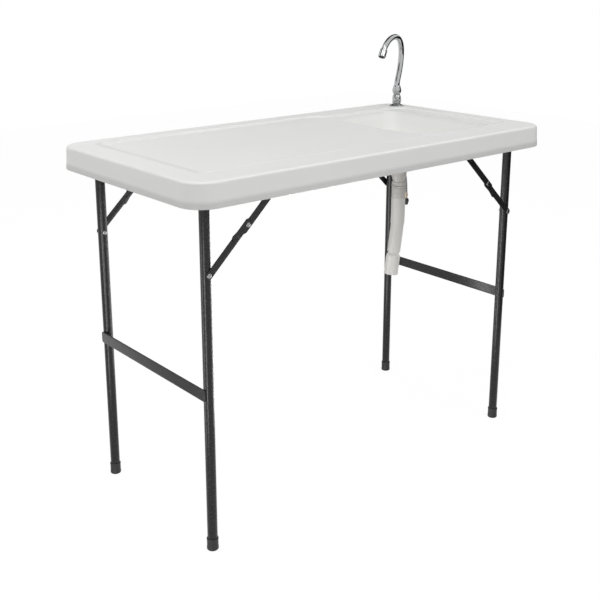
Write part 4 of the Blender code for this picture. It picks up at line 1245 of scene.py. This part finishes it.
def build_supply():
    first = TAP + upright(SHANK_LOW - GAP)
    last = first + facing(SUPPLY_FACE) * SUPPLY_SHIFT + upright(-SUPPLY_DROP)
    pull = upright(-SUPPLY_DROP * 0.4)
    straight = upright(0.004)
    points = [first] + curve_between(first, first + pull, last - pull, last, 14)
    points.insert(1, first - straight)
    points.insert(-1, last + straight)
    fine = [first] + curve_between(first, first + pull, last - pull, last, 60)
    ribs = {"rib_depth": 0.0004, "rib_pitch": 0.0024, "sides": 40, "spacing": 0.0006}
    mesh = tubes.run(line_curve("supply_tube", fine), "supply_grey", radius=SUPPLY_R, **ribs)
    hose = dressed("supply_tube", mesh, "supply_grey", "table", "supply_hose", sharp=60)

    top = last.z - GAP
    low = top - CONNECTOR_LENGTH
    here = at((last.x, last.y, 0))
    stem = CONNECTOR_R - 0.0012
    profile = [(0, low), (stem, low), (stem, low + 0.0055), (CONNECTOR_R, low + 0.0070)]
    profile += [(CONNECTOR_R, low + 0.0140), (SUPPLY_R + 0.0010, low + 0.0150)]
    profile += [(SUPPLY_R + 0.0006, top), (0, top)]
    grips = wavy(CONNECTOR_R + 0.0001, 0.0005, 24, low + 0.0080, low + 0.0130)
    grip = ridged(low + 0.0072, low + 0.0138, 6, 144, grips)
    connector = moved(merged(turned(profile, soft=0.0004), grip), here)
    connector = piece("hose_fitting", connector, "brass", "table", "supply_connector", sharp=30)

    top = low - GAP
    low = top - COUPLER_LENGTH
    neck, wide, mouth = 0.0042, COUPLER_R, COUPLER_R - 0.0050
    waist, skirt = wide - 0.0014, wide - 0.0020
    profile = [(0, top - 0.004), (neck, top - 0.004), (neck, top), (wide - 0.0030, top)]
    profile += [(wide - 0.0012, top - 0.0025), (wide - 0.0002, top - 0.0050), (waist, top - 0.0056)]
    profile += [(waist, top - 0.0125), (skirt, top - 0.0150), (skirt, low)]
    profile += [(mouth, low), (mouth, top - 0.012), (0, top - 0.012)]
    grip = ridged(top - 0.0126, top - 0.0052, 8, 160, wavy(wide, 0.0010, 20, top - 0.0120, top - 0.0058))
    grip = pierced(grip, plug(wide - 0.0022, top - 0.03, top + 0.01, 64))
    coupler = moved(merged(turned(profile, FINE, soft=0.0005), grip), here)
    coupler = piece("hose_coupler", coupler, "black_plastic", "table", "quick_coupler", sharp=32)
    length = sum((b - a).length for a, b in zip(fine, fine[1:]))


# Leg frames


def flat_arc(*line):
    """An arc as (x, z) points."""
    return [(p.x, p.y) for p in arc(*line)]


def saddle_outline(drop):
    """Strap round the pivot tube with two screw feet, relative to the tube's axis."""
    inner = TUBE_R + GAP
    outer = inner + SADDLE_T
    top = drop - GAP
    under = top - SADDLE_T
    foot = outer + SADDLE_FOOT
    bend = 0.002
    loop = [(-foot, top), (-inner - bend, top)]
    loop += flat_arc(-inner - bend, top - bend, bend, 90, 0, 5)
    loop += flat_arc(0, 0, inner, 180, 360, 40)
    loop += flat_arc(inner + bend, top - bend, bend, 180, 90, 5)
    loop += [(foot, top), (foot, under), (outer + 0.001, under)]
    loop += flat_arc(0, 0, outer, 0, -180, 40)
    loop += [(-outer - 0.001, under), (-foot, under)]
    return loop


def link_points(side, pairs, origin_t):
    """Turns (along, across) pairs into XZ points, along running up the brace."""
    along = Vector((-side * BRACE_REACH / BRACE, BRACE_DROP / BRACE))
    across = Vector((side * BRACE_DROP / BRACE, BRACE_REACH / BRACE))
    return [tuple(along * (t - origin_t) + across * n) for t, n in pairs]


def domed(radius, height, base=0.0):
    """Outer line of a low rounded head that stands on a base height, from its crown down."""
    angles = [math.radians(90 - 90 * i / 10) for i in range(11)]
    return [(radius * math.cos(a), base + height * math.sin(a)) for a in angles]


def build_leg(name, side, sy, pivot_z, body):
    here = at((side * LEG_X, sy * LEG_Y, 0))
    tube = hollow(TUBE_R - TUBE_WALL, TUBE_R, CAP_FLOOR + GAP, pivot_z + LEG_TOP, 64, 0.0006)
    piece(name + "_tube", moved(tube, here), "coated_steel", body, name + "_leg")
    bore = TUBE_R + GAP
    groove = CAP_R - 0.0005
    profile = [(0, 0), (CAP_R - 0.0016, 0), (CAP_R, 0.0020), (CAP_R, 0.0075), (groove, 0.0082)]
    profile += [(groove, 0.0260), (CAP_R, 0.0268), (CAP_R, CAP_HEIGHT - 0.001), (CAP_R - 0.0006, CAP_HEIGHT)]
    profile += [(bore, CAP_HEIGHT), (bore, CAP_FLOOR), (0, CAP_FLOOR)]
    cap = moved(turned(profile, soft=0.0006), here)
    piece(name + "_cap", cap, "foot_rubber", body, name + "_foot_cap")


def build_lower_bar(name, side, sy, knee):
    half = LINK_W / 2
    loop = flat_arc(-LOWER, 0, half, 90, 270, 20) + flat_arc(0, 0, half, -90, 90, 20)
    link = plate(link_points(side, loop, 0.0), LINK_T, [(0, 0, RIVET_HOLE_R)])
    link = moved(link, at((knee.x, sy * LINK_Y, knee.y)))
    body = name + "_lower_brace"
    piece(name + "_lower_bar", link, "coated_steel", body, name + "_lower_link")
    tip = link_points(side, [(-LOWER, 0)], 0.0)[0]
    spot = (knee.x + tip[0], sy * (LINK_Y + LINK_T / 2 - SUNK), knee.y + tip[1])
    spots = head_points(name + "_pin_head", [(spot, (0, sy, 0))])
    mesh = rivets.run(spots, "zinc_steel", radius=HEAD_R, height=HEAD_HEIGHT + SUNK)
    dressed(name + "_pin_head", mesh, "zinc_steel", body)


def build_upper_bar(name, side, sy, anchor, outward):
    """Upper link with its lock tab, the tab's stop hole and its dimple."""
    half = LINK_W / 2
    hand = side * sy
    tab = -LOCK_LENGTH
    corners = [(0.012, half), (0.006, LOCK_W * 0.86), (-0.022, LOCK_W * 0.75), (-0.029, LOCK_W * 0.82)]
    corners += [(tab + 0.005, LOCK_W), (tab, LOCK_W * 0.90), (tab - 0.0022, 0.005)]
    corners += [(tab + 0.0015, -0.003), (-0.025, -0.0042), (-0.018, -half)]
    top_end = flat_arc(UPPER, 0, half, -90, 90, 20)
    loop = softened([top_end[-1]] + corners + [top_end[0]], 0.0022)
    loop = [(t, n * hand) for t, n in top_end + loop[1:-1]]
    marks = [(0, 0), (tab + 0.0035, 0.0047 * hand), (tab + 0.0138, 0.0061 * hand)]
    tip, stop, spot = link_points(side, marks, UPPER)
    holes = [(0, 0, RIVET_HOLE_R), (*tip, RIVET_HOLE_R), (*stop, 0.0016)]
    link = plate(link_points(side, loop, UPPER), LINK_T, holes)
    dimple = turned(domed(0.0034, 0.0012) + [(0, 0)], 40)
    dimple = moved(dimple, at((spot[0], sy * (LINK_T / 2 - SUNK), spot[1])) @ outward)
    bar = moved(merged(link, dimple), at((anchor.x, sy * UPPER_Y, anchor.y)))
    piece(name + "_upper_bar", bar, "coated_steel", name + "_upper_brace", name + "_upper_link")


def build_knee_rivet(name, knee, outward):
    middle = UPPER_Y + LINK_T / 2 + GAP
    shoulder = LINK_Y + LINK_T / 2 + GAP
    low = LINK_Y - LINK_T / 2
    shelf = UPPER_Y - LINK_T / 2 - GAP
    profile = domed(HEAD_R, HEAD_HEIGHT, middle)
    profile += [(RIVET_R, middle), (RIVET_R, shelf), (HEAD_R, shelf), (HEAD_R, shoulder)]
    profile += [(RIVET_R, shoulder), (RIVET_R, low), (0, low)]
    pin = moved(turned(profile, 48, soft=0.0002), at((knee.x, 0, knee.y)) @ outward)
    piece(name + "_knee_rivet", pin, "zinc_steel", name + "_upper_brace", name + "_brace_rivet")


def build_bracket(name, sy, anchor, drop, outward):
    """Folded bracket: a cheek beside the upper link, a foot under the deck, and the pivot's rivet."""
    face = LINK_T / 2
    top = drop - GAP
    bend, edge = 0.0045, 0.0035
    side = BRACKET_W / 2
    cheek_top = top - bend + 0.0004
    cheek_low = -(LINK_W / 2 + 0.003)
    outline = [(-side, cheek_top), (-side, cheek_low + edge)]
    outline += flat_arc(-side + edge, cheek_low + edge, edge, 180, 270, 8)
    outline += flat_arc(side - edge, cheek_low + edge, edge, 270, 360, 8) + [(side, cheek_top)]
    cheek = plate(outline, LINK_T, edge=0.0003)
    span = BRACKET_FOOT - face
    section = [(-face, top - bend)] + flat_arc(-face + bend, top - bend, bend, 180, 90, 10)
    section += [(span, top), (span, top - LINK_T)]
    section += flat_arc(-face + bend, top - bend, bend - LINK_T, 90, 180, 10)
    foot = moved(plate(section, BRACKET_W, edge=0.0003), about("Z", QUARTER * sy))
    head = turned(domed(HEAD_R, HEAD_HEIGHT) + [(0, 0)], 40)
    head = moved(head, at((0, sy * (face - SUNK), 0)) @ outward)
    pin = moved(plug(RIVET_R, -LINK_T * 1.5 - GAP, 0, 32), outward)
    bracket = moved(merged(cheek, foot, head, pin), at((anchor.x, sy * CHEEK_Y, anchor.y)))
    piece(name + "_bracket", bracket, "coated_steel", "table", name + "_brace_bracket")


def build_brace(name, side, sy, pivot_z, drop):
    knee_x = side * (LEG_X - BRACE_REACH * LOWER / BRACE)
    knee = Vector((knee_x, pivot_z - BRACE_DROP + BRACE_DROP * LOWER / BRACE))
    anchor = Vector((side * (LEG_X - BRACE_REACH), pivot_z))
    outward = about("X", -QUARTER * sy)
    build_lower_bar(name, side, sy, knee)
    build_upper_bar(name, side, sy, anchor, outward)
    build_knee_rivet(name, knee, outward)
    build_bracket(name, sy, anchor, drop, outward)


def build_frame(tag, side):
    drop = PIVOT_DROP[tag]
    pivot_z = DECK - drop
    body = tag + "_leg_frame"
    reach = LEG_Y - TUBE_R - GAP
    tube = hollow(TUBE_R - TUBE_WALL, TUBE_R, -reach, reach, 64, 0.0005)
    tube = moved(tube, at((side * LEG_X, 0, pivot_z)) @ about("X", QUARTER))
    piece(tag + "_hinge_tube", tube, "coated_steel", body, tag + "_pivot_tube")

    outline = round_rectangle(CROSSBAR_HALF, CROSSBAR_HEIGHT / 2, 0.006, 8)
    bar = moved(plate(outline, CROSSBAR_T, edge=0.0007), about("Z", QUARTER))
    bar = moved(bar, at((side * (LEG_X + TUBE_R + GAP + CROSSBAR_T / 2), 0, CROSSBAR_Z)))
    piece(tag + "_cross_strap", bar, "coated_steel", body, tag + "_crossbar")

    spots = []
    for end, sy in (("front", -1), ("back", 1)):
        name = tag + "_" + end
        build_leg(name, side, sy, pivot_z, body)
        build_brace(name, side, sy, pivot_z, drop)
        saddle = plate(saddle_outline(drop), SADDLE_WIDTH, edge=0.0005)
        saddle = moved(saddle, at((side * LEG_X, sy * SADDLE_Y, pivot_z)))
        piece(name + "_saddle", saddle, "coated_steel", "table", name + "_pivot_saddle")
        spots.append(((side * LEG_X, sy * reach, pivot_z - BRACE_DROP), (0, -sy, 0)))
    spots = head_points(tag + "_leg_pins", spots)
    heads = rivets.run(spots, "zinc_steel", radius=HEAD_R, height=HEAD_HEIGHT)
    nodes = [tag + "_front_leg_rivet", tag + "_back_leg_rivet"]
    dressed(tag + "_leg_pins", heads, "zinc_steel", body, *nodes)


# Screws: how far out each lies on its saddle's foot, its bracket's width and its bracket's foot
ON_SADDLE_FOOT = 0.55
ON_BRACKET_WIDTH = 0.25
ON_BRACKET_FOOT = 0.58
SCREW_R = 0.0042
SCREW_HEIGHT = 0.0020


def build_screws():
    """Cross-recess screws that hold the saddles and the brace brackets to the deck."""
    spots = []
    level = DECK - GAP
    down = (0, 0, -1)
    for side in (-1, 1):
        for sy in (-1, 1):
            for across in (-1, 1):
                x = side * LEG_X + across * (TUBE_R + GAP + SADDLE_T + SADDLE_FOOT * ON_SADDLE_FOOT)
                spots.append(((x, sy * SADDLE_Y, level - SADDLE_T), down))
                x = side * (LEG_X - BRACE_REACH) + across * BRACKET_W * ON_BRACKET_WIDTH
                y = sy * (CHEEK_Y + BRACKET_FOOT * ON_BRACKET_FOOT)
                spots.append(((x, y, level - LINK_T), down))
    points = head_points("deck_screws", spots)
    mesh = screws.run(points, "zinc_steel", radius=SCREW_R, height=SCREW_HEIGHT)
    dressed("deck_screws", mesh, "zinc_steel", "table", sharp=25)


tubes = tube_shape()
rivets = head_shape("rivet_heads", False)
screws = head_shape("cross_screws", True)
build_strainer()
build_drain_nut()
build_drain_pipe()
build_drain_hose()
build_tap_body()
build_spout()
build_shank()
build_supply()
build_frame("left", -1)
build_frame("right", 1)
build_screws()

# Studio
SKY = ((0.0, 0.84), (0.5, 0.72), (0.8, 0.28), (1.0, 0.18))
WHITE = (1.0, 1.0, 1.0, 1.0)
FLOOR_REACH = 6.0
FLOOR_TONE = (0.84, 0.84, 0.84, 1.0)
FLOOR_ROUGHNESS = 0.9
FLOOR_GLOW = 1.08
FLOOR_SHARE = 0.86
LAMP_AIM = Vector((0, 0, 0.9))

CAMERA_PLACE = (-1.6655, -1.8890, 1.3589)
CAMERA_HEADING = -40.38
CAMERA_DOWN = 14.53
CAMERA_LENS = 55.92
CAMERA_SHIFT = -0.145

# Place, size and power of each lamp
LAMPS = {
    "overhead": ((-0.8, 0.0, 3.0), 2.0, 22.5),
    "front_right": ((0.85, -2.35, 3.2), 1.5, 20.0),
    "back_left": ((-2.33, 0.85, 3.2), 1.5, 2.0),
}

# Screens round the tap: first and last heading, distance, foot, top, glow, and how far the top leans in
DARK_SCREENS = {
    "dark_front": (262, 330, 1.1, 0.05, 1.05, 0.02, 0.0),
    "dark_right": (310, 364, 1.2, 0.30, 1.35, 0.02, 0.0),
    "dark_above": (20, 97, 1.6, 1.60, 2.60, 0.03, 1.2),
    "dark_behind": (146, 188, 1.2, 1.45, 2.40, 0.03, 0.7),
}

# Bright screens by the legs: distance, foot, top and glow, half the spread, and each leg with its heading
LEG_SCREEN = (0.5, 0.02, 0.69, 9.0)
LEG_SPREAD = 7
LEG_SCREENS = (
    (-LEG_X, -LEG_Y, 207),
    (-LEG_X, LEG_Y, 213),
    (LEG_X, -LEG_Y, 192),
    (LEG_X, LEG_Y, 198),
)


def seen_by(graph, *rays):
    """1 for these kinds of ray and 0 for others."""
    share = 0.0
    for ray in rays:
        kind = graph.node("ShaderNodeLightPath", None, None, f"Is {ray} Ray")
        share = graph.node("ShaderNodeMath", {"operation": "MAXIMUM"}, {0: share, 1: kind})
    return share


def studio():
    """Even light from all round that is strongest from the sides, on a white background."""
    world = bpy.data.worlds.new("studio")
    bpy.context.scene.world = world
    world.use_nodes = True
    sky = Graph(world.node_tree)
    seen = seen_by(sky, "Camera", "Glossy", "Transmission")
    background = world.node_tree.nodes["Background"]
    background.inputs["Color"].default_value = WHITE
    way = sky.node("ShaderNodeTexCoord", None, None, "Generated")
    rise = sky.node("ShaderNodeSeparateXYZ", None, {"Vector": way}, "Z")
    level = sky.node("ShaderNodeValToRGB", {"stops": SKY}, {"Fac": rise})
    strength = seen + (1.0 - seen) * level
    world.node_tree.links.new(strength.port, background.inputs["Strength"])


def glowing(name, mesh, colour, strength):
    """The tree of a mesh's new material, and a glow in it."""
    material = bpy.data.materials.new(name)
    material.use_nodes = True
    mesh.materials.append(material)
    graph = Graph(material.node_tree)
    return graph, graph.node("ShaderNodeEmission", None, {"Color": colour, "Strength": strength})


def show(graph, surface):
    out = graph.tree.nodes["Material Output"]
    graph.tree.links.new(surface.port, out.inputs["Surface"])


def pale_floor():
    mesh = bpy.data.meshes.new("floor")
    far = FLOOR_REACH
    mesh.from_pydata([(-far, -far, 0), (far, -far, 0), (far, far, 0), (-far, far, 0)], [], [(0, 1, 2, 3)])
    floor = placed("floor", mesh)
    graph, glow = glowing("pale_floor", mesh, WHITE, FLOOR_GLOW)
    shader = graph.tree.nodes["Principled BSDF"]
    shader.inputs["Base Color"].default_value = FLOOR_TONE
    shader.inputs["Roughness"].default_value = FLOOR_ROUGHNESS
    share = seen_by(graph, "Camera", "Glossy") * FLOOR_SHARE
    lit = Socket(graph, shader.outputs[0])
    show(graph, graph.node("ShaderNodeMixShader", None, {0: share, 1: lit, 2: glow}))


def soft_lamp(name, place, size, power):
    light = bpy.data.lights.new(name, "AREA")
    light.shape = "DISK"
    light.size = size
    light.energy = power
    lamp = placed(name, light)
    lamp.location = place
    lamp.rotation_euler = (LAMP_AIM - Vector(place)).to_track_quat("-Z", "Y").to_euler()


def mirror_screen(name, middle, first, last, reach, low, high, strength, lean=0.0):
    """A curved screen that only glossy surfaces see, so that metal shows its form."""
    columns = 16
    points = []
    for i in range(columns + 1):
        a = math.radians(first + (last - first) * i / columns)
        for r, z in ((reach, low), (reach - lean, high)):
            points.append((middle.x + r * math.cos(a), middle.y + r * math.sin(a), z))
    faces = [(i, i + 2, i + 3, i + 1) for i in range(0, 2 * columns, 2)]
    mesh = bpy.data.meshes.new(name)
    mesh.from_pydata(points, [], faces)
    screen = placed(name, mesh)
    show(*glowing(name, mesh, (strength, strength, strength, 1.0), 1.0))
    screen.visible_camera = False
    screen.visible_diffuse = False
    screen.visible_transmission = False
    screen.visible_shadow = False


def camera():
    """The photograph's view, from the front left and above."""
    data = bpy.data.cameras.new("camera")
    data.sensor_width = 36.0
    data.lens = CAMERA_LENS
    data.shift_y = CAMERA_SHIFT
    made = placed("camera", data)
    made.location = CAMERA_PLACE
    made.rotation_euler = (math.radians(90 - CAMERA_DOWN), 0, math.radians(CAMERA_HEADING))
    bpy.context.scene.camera = made


studio()
pale_floor()
for name, lamp in LAMPS.items():
    soft_lamp(name, *lamp)
for name, screen in DARK_SCREENS.items():
    mirror_screen(name, TAP, *screen)
for leg, (x, y, heading) in enumerate(LEG_SCREENS, 1):
    foot = Vector((x, y, 0.0))
    mirror_screen(f"bright_leg_{leg}", foot, heading - LEG_SPREAD, heading + LEG_SPREAD, *LEG_SCREEN)
camera()
bpy.context.scene.view_settings.view_transform = "Standard"
